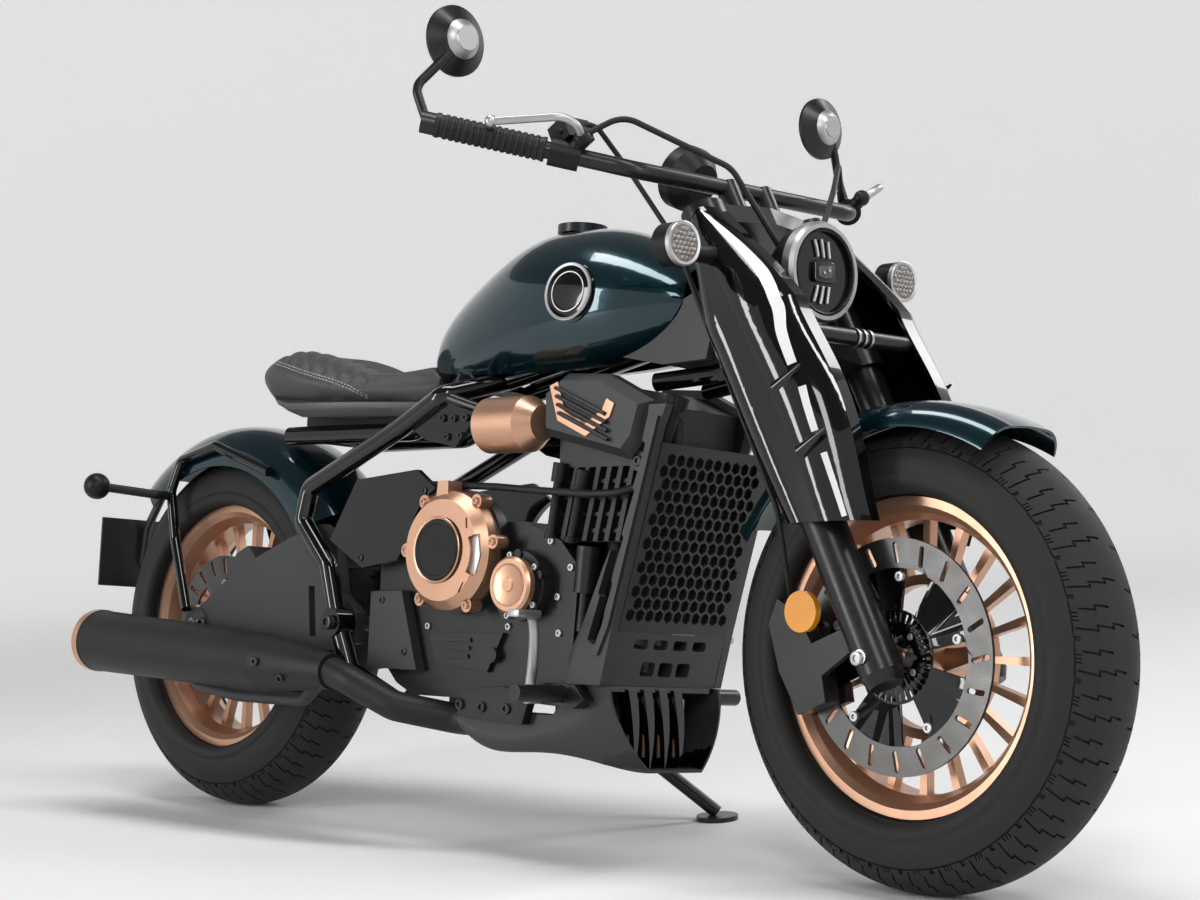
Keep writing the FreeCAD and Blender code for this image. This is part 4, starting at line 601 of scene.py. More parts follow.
def seated(spots: list[Point2], nodes: tuple[str, ...], place: Place,
        sink: float = 0.0004) -> list[tuple[Point, Point]]:
    """Finds where screws sit on the right side of some solids.

    Args:
        spots: Places in the X-Z plane, in metres.
        nodes: The solids that they may sit on.
        place: The frame of reference.
        sink: How deep each foot goes into the surface.

    Returns:
        Each screw's foot and its direction out of the surface.
    """
    to_row = FRAMES[place]
    into = to_row.inverted()
    found = []
    for x, z in spots:
        start, way = to_row @ Vector((x, -0.5, z)), to_row.to_3x3() @ Vector((0, 1, 0))
        hits = [frame["nodes"][node].ray_cast(start, way) for node in nodes]
        hits = [(hit[1] - start, hit[2]) for hit in hits if hit[0]]
        if hits:
            reach, normal = min(hits, key=lambda pair: pair[0].length)
            out = (into.to_3x3() @ normal).normalized()
            out = out if out.y < 0 else -out
            found.append((tuple((into @ (start + reach)) - out * sink), tuple(out)))
    return found


def mirrored(spots: list[tuple[Point, Point]]) -> list[tuple[Point, Point]]:
    """Gives the spots and their mirror images on the other side."""
    return spots + [((x, -y, z), (u, -v, w)) for (x, y, z), (u, v, w) in spots]


def tube(points: list[Point], radius: float, name: str, order: int = 3, sides: int = 4) -> bpy.types.Object:
    """Draws a smooth round bar along points, closed at its ends, as a mesh."""
    line = bpy.data.curves.new(name, "CURVE")
    line.dimensions = "3D"
    spline = line.splines.new("NURBS")
    spline.points.add(len(points) - 1)
    for point, spot in zip(spline.points, points):
        point.co = (*spot, 1)
    spline.order_u = order
    spline.use_endpoint_u = True
    spline.resolution_u = 8
    line.bevel_depth = radius
    line.bevel_resolution = sides
    line.use_fill_caps = True
    piece = bpy.data.objects.new(name, line)
    bpy.context.scene.collection.objects.link(piece)
    pick(piece)
    bpy.ops.object.convert(target="MESH")
    return outward(bpy.context.object, 0.00001)


def ribbon(points: list[Point2], widths: list[float], out: float, name: str,
        columns: int = 5) -> bpy.types.Object:
    """Lays a flat ribbon in the X-Z plane along points.

    Args:
        points: The middle line, in metres.
        widths: The ribbon's width at each point.
        out: The plane's place on Y.
        name: The ribbon's name.
        columns: How many rows of points it has across.

    Returns:
        The ribbon, finely divided.
    """
    steps = 8 * (len(points) - 1)
    deselect()
    bpy.ops.mesh.primitive_grid_add(x_subdivisions=steps, y_subdivisions=columns - 1, size=0.1)
    piece = bpy.context.object
    piece.name = name

    def along(t: float) -> tuple[Vector, float]:
        """Gives the smooth middle line's point and width."""
        i = min(int(t), len(points) - 2)
        f = t - i
        p = [Vector(points[min(max(k, 0), len(points) - 1)]) for k in (i - 1, i, i + 1, i + 2)]
        spot = 0.5 * (2 * p[1] + (p[2] - p[0]) * f + (2 * p[0] - 5 * p[1] + 4 * p[2] - p[3]) * f * f
                      + (3 * p[1] - p[0] - 3 * p[2] + p[3]) * f ** 3)
        return spot, widths[i] + (widths[i + 1] - widths[i]) * f

    for number, vertex in enumerate(piece.data.vertices):
        column, row = number % (steps + 1), number // (steps + 1)
        t = column * (len(points) - 1) / steps
        spot, width = along(t)
        ahead = along(min(t + 0.02, len(points) - 1.0))[0] - along(max(t - 0.02, 0.0))[0]
        side = Vector((-ahead.y, ahead.x)).normalized()
        spot = spot + side * width * (row / (columns - 1) - 0.5)
        vertex.co = (spot.x, out, spot.y)
    return piece


def laid_on(piece: bpy.types.Object, target: bpy.types.Object, place: Place, inward: bool, lift: float,
            thick: float) -> bpy.types.Object:
    """Presses a ribbon on a solid's side along Y, gives it a thickness, and settles it."""
    piece.matrix_world = FRAMES[place]
    out = max(abs(v.co.y) for v in piece.data.vertices)
    modify(piece, "SHRINKWRAP", target=target, wrap_method="PROJECT", use_project_x=False, use_project_y=True,
           use_project_z=False, use_positive_direction=inward, use_negative_direction=not inward, offset=0.0)
    pick(piece)
    bpy.ops.object.mode_set(mode="EDIT")
    bpy.ops.mesh.select_all(action="DESELECT")
    bpy.ops.object.mode_set(mode="OBJECT")
    for vertex in piece.data.vertices:
        vertex.select = abs(vertex.co.y) > out - 0.001
    bpy.ops.object.mode_set(mode="EDIT")
    bpy.ops.mesh.delete(type="VERT")
    bpy.ops.mesh.select_all(action="SELECT")
    bpy.ops.mesh.normals_make_consistent(inside=False)
    bpy.ops.object.mode_set(mode="OBJECT")
    middle = sum((f.normal.y * f.area for f in piece.data.polygons), 0.0)
    if (middle > 0) == inward:
        pick(piece)
        bpy.ops.object.mode_set(mode="EDIT")
        bpy.ops.mesh.select_all(action="SELECT")
        bpy.ops.mesh.flip_normals()
        bpy.ops.object.mode_set(mode="OBJECT")
    modify(piece, "SOLIDIFY", thickness=thick, offset=(lift * 2 / thick) - 1)
    smooth(piece, 40)
    return settle(piece, Place.WORLD)


def slab_of(outline: list[Point2], low: float, high: float, name: str, edge: float = 0.0) -> bpy.types.Object:
    """Raises a flat outline in X-Z along Y, from a filled face that is extruded, with softened edges.

    Args:
        outline: The outline's points, in metres.
        low: Where it starts on Y.
        high: Where it ends on Y.
        name: The piece's name.
        edge: The width of its softened edges.

    Returns:
        The slab, in its frame of reference.
    """
    deselect()
    bpy.ops.mesh.primitive_circle_add(vertices=len(outline), radius=0.01, fill_type="NGON")
    piece = bpy.context.object
    piece.name = name
    for vertex, (x, z) in zip(piece.data.vertices, outline):
        vertex.co = (x, low, z)
    bpy.ops.object.mode_set(mode="EDIT")
    bpy.ops.mesh.select_all(action="SELECT")
    bpy.ops.mesh.extrude_region_move(TRANSFORM_OT_translate={"value": (0, high - low, 0)})
    bpy.ops.mesh.select_all(action="SELECT")
    bpy.ops.mesh.normals_make_consistent(inside=False)
    bpy.ops.object.mode_set(mode="OBJECT")
    if edge:
        modify(piece, "BEVEL", width=edge, segments=2, limit_method="ANGLE", angle_limit=math.radians(35))
    return smooth(piece)


# Wheels

@dataclass
class Tyre:
    """A tyre: a smooth carcass with ribs on its walls, and stepped blocks round its crown."""

    node: str
    place: Place
    body: Body
    crown: float
    rim_half: float
    pitches: int = 34
    reach: float = 0.078
    depth: float = 0.0036
    cuts: tuple[tuple[float, float, float, float], ...] = (
        (4, 7.2, 46, 76), (4, 14, 46, 49.2), (10.8, 14, 24, 49.2), (10.8, 20, 24, 27.2), (16.8, 20, 8, 27.2),
        (32, 35.2, 49.2, 69), (32, 41, 46, 49.2), (37.8, 41, 29, 49.2),
        (16, 18, 70, 78), (21.5, 23.5, 71, 78), (27, 29, 70, 78), (47, 49, 71, 78), (52, 54, 70, 78))

    def carcass(self) -> bpy.types.Object:
        """Turns the tyre's body, lower under the blocks by the depth of the grooves."""
        seat, lip, waist = self.rim_half - 0.0052, 0.218, TYRE_RADIUS - self.crown
        wall = arc((self.rim_half + 0.002, lip + 0.004), (self.crown - 0.005, waist - 0.022),
            (self.crown, waist), 10)
        shoulder = math.degrees(self.reach / self.crown)
        side = [(-seat, 0.2003), (seat, 0.2003), (seat, lip)] + wall[:-1]
        for degrees in range(90, int(shoulder) + 2, -4):
            lift = 0.0006 if degrees in (82, 74) else 0.0
            turn = math.radians(degrees)
            side.append(((self.crown + lift - 0.0006) * math.sin(turn),
                waist + (self.crown + lift - 0.0006) * math.cos(turn)))
        low = self.crown - self.depth
        top = [(low * math.sin(math.radians(d)), waist + low * math.cos(math.radians(d))) for d in
               [shoulder - 1.0 - k * (shoulder - 1.0) / 9 for k in range(10)]]
        right = side + top
        left = [(-y, r) for y, r in reversed(right[2:-1])]
        return smooth(turned(right + left, self.node + "_carcass", 144), 26)

    def blocks(self, side: int) -> bpy.types.Object:
        """Cuts the stepped grooves in one pitch of one half, repeats it and wraps it round the crown.

        Args:
            side: 1 for the left half, -1 for the right one.

        Returns:
            The half's blocks, each a closed solid.
        """
        pitch = math.tau * TYRE_RADIUS / self.pitches
        around = sorted({0.0, 0.0265, 0.0355, 0.0445, 0.0565, pitch, *(v / 1000 for cut in self.cuts
            for v in cut[:2])})
        across = sorted({0.0, 0.016, 0.037, 0.054, 0.062, self.reach, *(v / 1000 for cut in self.cuts
            for v in cut[2:])})
        across = [v for v in across if v <= self.reach + 1e-9]
        around = [v for v in around if v <= pitch + 1e-9]
        deselect()
        bpy.ops.mesh.primitive_grid_add(x_subdivisions=len(around) - 1, y_subdivisions=len(across) - 1,
            size=0.1)
        piece = bpy.context.object
        piece.name = f"{self.node}_blocks_{'left' if side > 0 else 'right'}"
        for number, vertex in enumerate(piece.data.vertices):
            vertex.co = (around[number % len(around)], across[number // len(around)], 0)
        cut_faces = set()
        for face in piece.data.polygons:
            s, t = face.center.x * 1000, face.center.y * 1000
            if any(a < s < b and c < t < d for a, b, c, d in self.cuts):
                cut_faces.add(face.index)
        bpy.ops.object.mode_set(mode="EDIT")
        bpy.ops.mesh.select_all(action="DESELECT")
        bpy.ops.object.mode_set(mode="OBJECT")
        for face in piece.data.polygons:
            face.select = face.index in cut_faces
        bpy.ops.object.mode_set(mode="EDIT")
        bpy.ops.mesh.delete(type="FACE")
        bpy.ops.object.mode_set(mode="OBJECT")
        modify(piece, "ARRAY", count=self.pitches, use_relative_offset=False, use_constant_offset=True,
               constant_offset_displace=(pitch, 0, 0), use_merge_vertices=True, merge_threshold=0.00005)
        for vertex in piece.data.vertices:
            s, t, _ = vertex.co
            theta = (s + 0.22 * t + (0.5 * pitch if side > 0 else 0.0)) / TYRE_RADIUS * side
            phi = t / self.crown
            radius = TYRE_RADIUS - self.crown + self.crown * math.cos(phi)
            vertex.co = (radius * math.sin(theta), side * self.crown * math.sin(phi),
                radius * math.cos(theta))
        outward(piece)
        hub = Vector((0, 0, 0))
        facing = sum((f.normal.dot((f.center - hub) * Vector((1, 0, 1)))) for f in piece.data.polygons)
        if facing < 0:
            pick(piece)
            bpy.ops.object.mode_set(mode="EDIT")
            bpy.ops.mesh.select_all(action="SELECT")
            bpy.ops.mesh.flip_normals()
            bpy.ops.object.mode_set(mode="OBJECT")
        modify(piece, "SOLIDIFY", thickness=self.depth + 0.001, offset=-1.0, use_even_offset=False)
        return smooth(piece, 30)

    def build(self) -> bpy.types.Object:
        """Builds the whole tyre in place of the plain one."""
        piece = join([self.carcass(), self.blocks(1), self.blocks(-1)], self.node + "_treaded")
        return hand_over(settle(piece, self.place), self.body, TYRE_RUBBER, (self.node,))


@dataclass
class WheelTrim:
    """The screws of both discs and of the hubs, and the valves."""

    disc_bolts: int = 5
    carrier_radius: float = 0.108

    def build(self) -> None:
        """Sets the silver screws of the discs and the hubs."""
        ring = [math.tau * (k + 0.2) / self.disc_bolts for k in range(self.disc_bolts)]
        for place, body, out, name in ((Place.FRONT_WHEEL, Body.FRONT_WHEEL, -0.0705, "front_disc_screws"),
                                       (Place.REAR_WHEEL, Body.REAR_WHEEL, -0.0685, "rear_disc_screws")):
            radius = self.carrier_radius if body is Body.FRONT_WHEEL else 0.075
            spots = [((radius * math.cos(a), out, radius * math.sin(a)), (0, -1, 0)) for a in ring]
            screws(spots, 0.0072, 0.005, name, place, body, SILVER_AND_PAINTED_REFLECTION)
        inner = [((0.040 * math.cos(a + 0.5), -0.0758, 0.040 * math.sin(a + 0.5)), (0, -1, 0)) for a in ring]
        screws(inner, 0.0045, 0.003, "front_ring_screws", Place.FRONT_WHEEL, Body.FRONT_WHEEL, SILVER_AND_PAINTED_REFLECTION)
        teeth = [((0.05 * math.cos(a), 0.0970, 0.05 * math.sin(a)), (0, 1, 0)) for a in ring]
        screws(teeth, 0.007, 0.005, "sprocket_screws", Place.REAR_WHEEL, Body.REAR_WHEEL, SILVER_AND_PAINTED_REFLECTION)
        for place, body, name, length in ((Place.FRONT_WHEEL, Body.FRONT_WHEEL, "front_valve", 0.026),
                                          (Place.REAR_WHEEL, Body.REAR_WHEEL, "rear_valve", 0.028)):
            stem = turned([(0, 0.00001), (0, 0.0048), (0.008, 0.0040), (length * 0.5, 0.0032),
                (length, 0.0034), (length, 0.00001)], name, 12)
            aimed(stem, (0.186 * math.sin(0.33), 0.014, 0.186 * math.cos(0.33)),
                (-math.sin(0.33), 0, -math.cos(0.33)))
            hand_over(settle(smooth(stem), place), body, RUBBER)


# Front end

@dataclass
class ForkCovers:
    """The pale stripe of each fork cover, broken at its fins."""

    stripe: tuple[tuple[tuple[Point2, ...], tuple[float, ...]],
        ...] = ((((0.020, 0.702), (0.042, 0.655), (0.066, 0.598), (0.084, 0.545), (0.090, 0.495),
        (0.084, 0.452), (0.083, 0.402)), (0.0015, 0.006, 0.0085, 0.0105, 0.0125, 0.0125, 0.0115)),
        (((0.084, 0.366), (0.080, 0.335), (0.076, 0.300)), (0.0100, 0.0095, 0.0090)),
        (((0.074, 0.268), (0.068, 0.225), (0.061, 0.178)), (0.0080, 0.0070, 0.0060)))

    def build(self) -> None:
        """Lays the stripes on both covers."""
        covers = frame["nodes"]["fork_covers"]
        for side in (-1, 1):
            label = "left" if side > 0 else "right"
            parts = []
            for number, (points, widths) in enumerate(self.stripe):
                band = ribbon(list(points), list(widths), side * 0.25, f"stripe_{label}_{number}", 3)
                parts.append(laid_on(band, covers, Place.FORK, side < 0, 0.0004, 0.0009))
            hand_over(join(parts, f"cover_stripe_{label}"), Body.STEERING, PAPER_WHITE)


@dataclass
class Headlamp:
    """The lamp's black face: a projector between slanted light bars, under a bezel."""

    centre: Point = (0.083, 0.0, 0.574)

    def turn(self) -> Matrix:
        """Gives the lamp's own frame in the fork's: X across, Y out of the lamp, Z up."""
        ahead = Vector((math.cos(RAKE), 0, -math.sin(RAKE)))
        up = Vector((math.sin(RAKE), 0, math.cos(RAKE)))
        across = ahead.cross(up)
        return Matrix.Translation(self.centre) @ Matrix((across, ahead, up)).transposed().to_4x4()

    def put(self, piece: bpy.types.Object, finish: Finish) -> bpy.types.Object:
        """Moves a piece from the lamp's frame to the row frame and hands it over."""
        piece.data.transform(self.turn() @ piece.matrix_world)
        piece.matrix_world = Matrix.Identity(4)
        return hand_over(settle(piece, Place.FORK), Body.STEERING, finish)

    def bars(self) -> bpy.types.Object:
        """Models three curved light bars above the projector and three below."""
        parts = []
        for up in (1, -1):
            for column in (-1, 0, 1):
                foot, tip = column * 0.0125, column * 0.0145 + 0.006
                line = [(foot, -0.0045, up * 0.021), (foot + 0.002, -0.0040, up * 0.030),
                    (tip, -0.0045, up * (0.047 - abs(column) * 0.002))]
                bar = tube(line, 0.0022, "bar", 3, 3)
                parts.append(smooth(bar, 50))
        return join(parts, "lamp_light_bars")

    def projector(self) -> bpy.types.Object:
        """Models the boxed lens's rounded frame in the middle."""
        w, h, c = 0.023, 0.0155, 0.004
        outline = [(-w, -h + c), (-w + c, -h), (w - c, -h), (w, -h + c), (w, h - c), (w - c, h),
            (-w + c, h), (-w, h - c)]
        return slab_of(outline, -0.0078, -0.0012, "lamp_projector", 0.0018)

    def lens(self) -> bpy.types.Object:
        """Models the projector's small bright lens."""
        w, h, c = 0.014, 0.0085, 0.003
        outline = [(-w, -h + c), (-w + c, -h), (w - c, -h), (w, -h + c), (w, h - c), (w - c, h),
            (-w + c, h), (-w, h - c)]
        return slab_of(outline, -0.0016, 0.0004, "lamp_lens", 0.0012)

    def build(self) -> None:
        """Builds the lamp's face in front of its glass disc."""
        self.put(self.bars(), LIGHT_BAR_AND_PAINTED_GLINT)
        self.put(self.projector(), GLOSS_BLACK)
        self.put(self.lens(), CLEAR_LENS)
        # Two small pale dots on the projector's lens: painted glints, painted reflections of light on its glass.
        for spot in ((-0.006, 0.0012, 0.002), (0.005, 0.0012, -0.002)):
            self.put(smooth(aimed(button(0.0022, 0.0012, "lamp_painted_glint"), spot, (0, 1, 0))), LIGHT_BAR_AND_PAINTED_GLINT)
        rim = turned([(-0.0062, 0.0585), (-0.0062, 0.0618), (-0.001, 0.0618), (0.0002, 0.0610),
            (-0.001, 0.0590)], "lamp_inner_rim", 64)
        self.put(smooth(rim), BLACK_PLASTIC)
        for number, y in enumerate((-0.014, 0.0, 0.014)):
            ring = turned([(-0.0022, 0.0130), (-0.0022, 0.0140), (0.0022, 0.0140), (0.0022, 0.0130)],
                f"lamp_bar_ring_{number}", 32)
            ring.data.transform(Matrix.Translation((0.093, y, 0.454)))
            hand_over(settle(smooth(ring), Place.FORK), Body.STEERING, SILVER_AND_PAINTED_REFLECTION)


@dataclass
class Signals:
    """The front signals' faceted lenses and rings."""

    spot: Point = (0.033, 0.239, 0.620)

    def build(self) -> None:
        """Sets a lens of small domes in a silver ring on each front signal."""
        ahead = Vector((math.cos(RAKE), 0, -math.sin(RAKE)))
        for side in (-1, 1):
            label = "left" if side > 0 else "right"
            centre = Vector((self.spot[0], side * self.spot[1], self.spot[2])) + ahead * 0.014
            ring = turned([(-0.006, 0.0262), (-0.006, 0.0316), (0.001, 0.0316), (0.002, 0.0300),
                (0.001, 0.0262)], "signal_ring", 40)
            aimed(ring, centre, ahead)
            hand_over(settle(smooth(join([ring], f"signal_ring_{label}")), Place.FORK), Body.STEERING,
                SILVER_AND_PAINTED_REFLECTION)
            domes = []
            first = turned([(0, 0.00001), (0, 0.0042), (0.0012, 0.0038), (0.0022, 0.0024),
                (0.0026, 0.00001)], "dome", 10)
            for row in range(-3, 4):
                for column in range(-3, 4):
                    x, z = column * 0.0078 + (row % 2) * 0.0039, row * 0.0068
                    if math.hypot(x, z) > 0.0232:
                        continue
                    dome = first.copy()
                    dome.data = first.data.copy()
                    bpy.context.scene.collection.objects.link(dome)
                    dome.data.transform(Matrix.Translation((x, 0, z)))
                    domes.append(dome)
            plate = turned([(-0.002, 0.00001), (-0.002, 0.0268), (0.0003, 0.0268), (0.0003, 0.00001)],
                "plate", 32)
            bpy.data.objects.remove(first)
            lens = smooth(join([plate] + domes, f"signal_lens_{label}"), 50)
            aimed(lens, centre, ahead)
            hand_over(settle(lens, Place.FORK), Body.STEERING, SIGNAL_LENS)


@dataclass
class Controls:
    """Ribs of the grips, the mirrors' glass and hubs, the dial's face and the bar's screws."""

    grip_start: Point = (-0.0575, 0.330, 0.829)
    grip_end: Point = (-0.134, 0.449, 0.905)
    mirror: Point = (-0.087, 0.400, 1.031)
    ribs: int = 15

    def grips(self) -> None:
        """Turns ribbed sleeves in place of the plain grips."""
        start, end = Vector(self.grip_start), Vector(self.grip_end)
        length = (end - start).length
        profile = [(0, 0.0128), (0, 0.0176), (0.002, 0.0184)]
        for rib in range(self.ribs):
            a = 0.010 + rib * (length - 0.020) / self.ribs
            step = (length - 0.020) / self.ribs
            profile += [(a, 0.0163), (a + step * 0.12, 0.0180), (a + step * 0.62, 0.0180),
                (a + step * 0.74, 0.0163)]
        profile += [(length - 0.008, 0.0163), (length - 0.006, 0.0184), (length, 0.0176), (length, 0.0128)]
        for side in (-1, 1):
            sleeve = turned(profile, "sleeve", 32)
            foot, towards = Vector((start.x, side * start.y, start.z)), end - start
            towards.y *= side
            aimed(sleeve, foot, towards)
            sleeve.name = f"grip_sleeve_{'left' if side > 0 else 'right'}"
            hand_over(settle(smooth(sleeve), Place.FORK), Body.STEERING, RUBBER, ("grips",)
                if side > 0 else ())

    def mirrors(self) -> None:
        """Sets the glass and the silver hub of each mirror."""
        look = Vector((-math.cos(RAKE), 0, math.sin(RAKE)))
        for side in (-1, 1):
            label = "left" if side > 0 else "right"
            spot = Vector((self.mirror[0], side * self.mirror[1], self.mirror[2]))
            glass = turned([(0, 0.00001), (0, 0.0485), (0.0006, 0.0485), (0.0012, 0.0470),
                (0.0012, 0.00001)], "mirror_glass_" + label, 56)
            aimed(glass, spot + look * 0.0055, look)
            hand_over(settle(smooth(glass), Place.FORK), Body.STEERING, MIRROR_GLASS)
            hub = turned([(0, 0.00001), (0, 0.030), (0.0025, 0.029), (0.009, 0.021), (0.0105, 0.0185),
                (0.0125, 0.018), (0.0125, 0.00001)], "mirror_hub_" + label, 40)
            aimed(hub, spot - look * 0.0135, look * -1)
            hand_over(settle(smooth(hub), Place.FORK), Body.STEERING, SILVER_AND_PAINTED_REFLECTION)

    def dial(self) -> None:
        """Sets the dial's dark glass and its thin silver rim."""
        look = Vector((-math.sin(math.radians(40)), 0, math.cos(math.radians(40))))
        spot = Vector((-0.082, 0, 0.851)) + look * 0.022
        rim = turned([(-0.003, 0.0440), (-0.003, 0.0496), (0.0003, 0.0496), (0.0012, 0.0480),
            (0.0003, 0.0440)], "dial_rim", 56)
        hand_over(settle(smooth(aimed(rim, spot, look)), Place.FORK), Body.STEERING, SILVER_AND_PAINTED_REFLECTION)
        glass = turned([(-0.002, 0.00001), (-0.002, 0.0442), (0.0002, 0.0442), (0.0006, 0.0300),
            (0.0008, 0.00001)], "dial_glass", 56)
        hand_over(settle(smooth(aimed(glass, spot, look)), Place.FORK), Body.STEERING,
            GLOSS_BLACK)

    def build(self) -> None:
        """Builds the rider's controls."""
        self.grips()
        self.mirrors()
        self.dial()
        caps = mirrored([((0.093, -0.1016, 0.454), (0, 1, 0))])
        screws(caps, 0.009, 0.005, "lamp_bar_screws", Place.FORK, Body.STEERING, SILVER_AND_PAINTED_REFLECTION)
        pinch = [((-0.004, -0.1462, 0.0), (0, -1, 0)), ((-0.004, 0.1462, 0.0), (0, 1, 0))]
        screws(pinch, 0.0095, 0.004, "axle_screws", Place.FORK, Body.STEERING, SILVER_AND_PAINTED_REFLECTION)
        clamps = mirrored([((-0.020, -0.112, 0.7202), (0, 0, 1)), ((0.020, -0.112, 0.7202), (0, 0, 1))])
        screws(clamps, 0.006, 0.005, "clamp_screws", Place.FORK, Body.STEERING, SILVER_AND_PAINTED_REFLECTION)


# Seat

@dataclass
class Saddle:
    """The padded seat: swelled by cloth, with sewn channels and a pale double seam over a pan."""

    cap: float = 0.007
    channels: tuple[float, ...] = (0.112, 0.146, 0.180, 0.214, 0.248, 0.282, 0.316)
    slant: float = 0.75
    seam: tuple[Point2, ...] = ((0.152, 0.784), (0.180, 0.7800), (0.225, 0.7700), (0.275, 0.7560),
        (0.330, 0.7420), (0.375, 0.7280), (0.405, 0.7120))
    outline: tuple[Point2, ...] = ((0.128, 0.0), (0.134, 0.052), (0.152, 0.100), (0.190, 0.128),
        (0.230, 0.135), (0.300, 0.132), (0.380, 0.114), (0.446, 0.090), (0.500, 0.070), (0.532, 0.054),
        (0.540, 0.0))

    def cushion(self) -> bpy.types.Object:
        """Copies the seat's solid, remeshes it finely and draws it in a little."""
        source = frame["nodes"]["seat"]
        piece = bpy.data.objects.new("seat_cushion", source.data.copy())
        bpy.context.scene.collection.objects.link(piece)
        outward(piece)
        modify(piece, "REMESH", mode="VOXEL", voxel_size=0.005)
        modify(piece, "SMOOTH", factor=0.5, iterations=6)
        pick(piece)
        bpy.ops.object.mode_set(mode="EDIT")
        bpy.ops.mesh.select_all(action="SELECT")
        bpy.ops.transform.shrink_fatten(value=-0.003)
        bpy.ops.object.mode_set(mode="OBJECT")
        return piece

    def swell(self, piece: bpy.types.Object) -> bpy.types.Object:
        """Fills the cushion by a short cloth simulation, with each point's way capped."""
        start = [v.co.copy() for v in piece.data.vertices]
        cloth = piece.modifiers.new("filling", "CLOTH")
        cloth.settings.use_pressure = True
        cloth.settings.uniform_pressure_force = 4.0
        cloth.settings.effector_weights.gravity = 0.0
        for moment in range(1, 21):
            bpy.context.scene.frame_set(moment)
        pick(piece)
        bpy.ops.object.modifier_apply(modifier=cloth.name)
        bpy.context.scene.frame_set(1)
        for vertex, old in zip(piece.data.vertices, start):
            way = vertex.co - old
            if way.length > self.cap:
                vertex.co = old + way * (self.cap / way.length)
        return piece

    def sew(self, piece: bpy.types.Object) -> bpy.types.Object:
        """Presses the channels into the raised back, above the seam."""
        into = FRAMES[Place.BIKE].inverted()
        down = FRAMES[Place.BIKE].to_3x3() @ Vector((0, 0, -1))
        for vertex in piece.data.vertices:
            x, y, z = into @ vertex.co
            edge = self.seam_height(x)
            if z < 0.735:
                continue
            dip = 0.0
            inside = 1 / (1 + math.exp(-(z - edge - 0.004) / 0.0025)) if x < 0.40 else 0.0
            for start in self.channels:
                away = (x - start - self.slant * abs(y)) / math.hypot(1, self.slant)
                dip += 0.0042 * math.exp(-(away / 0.0045) ** 2) * inside
            vertex.co += down * dip
        return smooth(modify(piece, "SUBSURF", levels=1, render_levels=1), 60)

    def seam_height(self, x: float) -> float:
        """Gives the seam's height at a place along the seat."""
        for (x0, z0), (x1, z1) in zip(self.seam, self.seam[1:]):
            if x0 <= x <= x1:
                return z0 + (z1 - z0) * (x - x0) / (x1 - x0)
        return self.seam[0][1] if x < self.seam[0][0] else self.seam[-1][1]

    def stitches(self, cushion: bpy.types.Object) -> None:
        """Lays two rows of short pale stitches along the seam of each side."""
        for side in (-1, 1):
            marks = []
            for row in (-0.0022, 0.0022):
                for (x0, z0), (x1, z1) in zip(self.seam, self.seam[1:]):
                    length = math.hypot(x1 - x0, z1 - z0)
                    count = max(2, round(length / 0.0075))
                    ux, uz = (x1 - x0) / length, (z1 - z0) / length
                    for k in range(count):
                        t = (k + 0.5) / count
                        x, z = x0 + (x1 - x0) * t - uz * row, z0 + (z1 - z0) * t + ux * row
                        h, w = 0.0021, 0.00055
                        marks.append([(x - ux * h - uz * w, z - uz * h + ux * w),
                            (x + ux * h - uz * w, z + uz * h + ux * w),
                            (x + ux * h + uz * w, z + uz * h - ux * w),
                            (x - ux * h + uz * w, z - uz * h - ux * w)])
            mesh = bpy.data.meshes.new("stitches")
            mesh.from_pydata([(x, side * 0.25, z) for mark in marks for x, z in mark], [],
                             [(4 * k, 4 * k + 1, 4 * k + 2, 4 * k + 3) for k in range(len(marks))])
            piece = bpy.data.objects.new(f"seat_stitches_{'left' if side > 0 else 'right'}", mesh)
            bpy.context.scene.collection.objects.link(piece)
            laid_on(piece, cushion, Place.BIKE, side < 0, 0.0002, 0.0009)
            hand_over(piece, Body.CHASSIS, THREAD)

    def pan(self) -> None:
        """Shapes the grey pan under the cushion, from its outline drawn down and in."""
        half = list(self.outline)
        loop = half + [(x, -y) for x, y in reversed(half[1:-1])]
        deselect()
        bpy.ops.mesh.primitive_circle_add(vertices=len(loop), radius=0.01, fill_type="NGON")
        piece = bpy.context.object
        piece.name = "seat_pan"
        for vertex, (x, y) in zip(piece.data.vertices, loop):
            lift = 0.040 * max(0.0, (0.24 - x) / 0.11) ** 1.6
            vertex.co = (x, y, 0.7035 + lift)
        bpy.ops.object.mode_set(mode="EDIT")
        bpy.ops.mesh.select_all(action="SELECT")
        bpy.ops.mesh.extrude_region_move(TRANSFORM_OT_translate={"value": (0.004, 0, -0.010)})
        bpy.ops.transform.resize(value=(0.985, 0.97, 1), center_override=(0.34, 0, 0.69))
        bpy.ops.mesh.extrude_region_move(TRANSFORM_OT_translate={"value": (0.010, 0, -0.013)})
        bpy.ops.transform.resize(value=(0.93, 0.86, 1), center_override=(0.34, 0, 0.68))
        bpy.ops.mesh.select_all(action="SELECT")
        bpy.ops.mesh.normals_make_consistent(inside=False)
        bpy.ops.object.mode_set(mode="OBJECT")
        modify(piece, "BEVEL", width=0.0018, segments=2, limit_method="ANGLE", angle_limit=math.radians(30))
        hand_over(settle(smooth(piece, 40), Place.BIKE), Body.CHASSIS, SEAT_PAN)

    def build(self) -> None:
        """Builds the cushion, its stitches and the pan."""
        cushion = self.sew(self.swell(self.cushion()))
        hand_over(cushion, Body.CHASSIS, SEAT_LEATHER, ("seat",))
        self.stitches(cushion)
        self.pan()


# Engine and trim

@dataclass(frozen=True)
class SeatedScrews:
    """A group of like screws that sit on some solids, by their places in the X-Z plane."""

    name: str
    nodes: tuple[str, ...]
    radius: float
    height: float
    spots: tuple[Point2, ...]
    finish: Finish = SCREW_BLACK
    slot: str = "black_metal"
    both_sides: bool = False


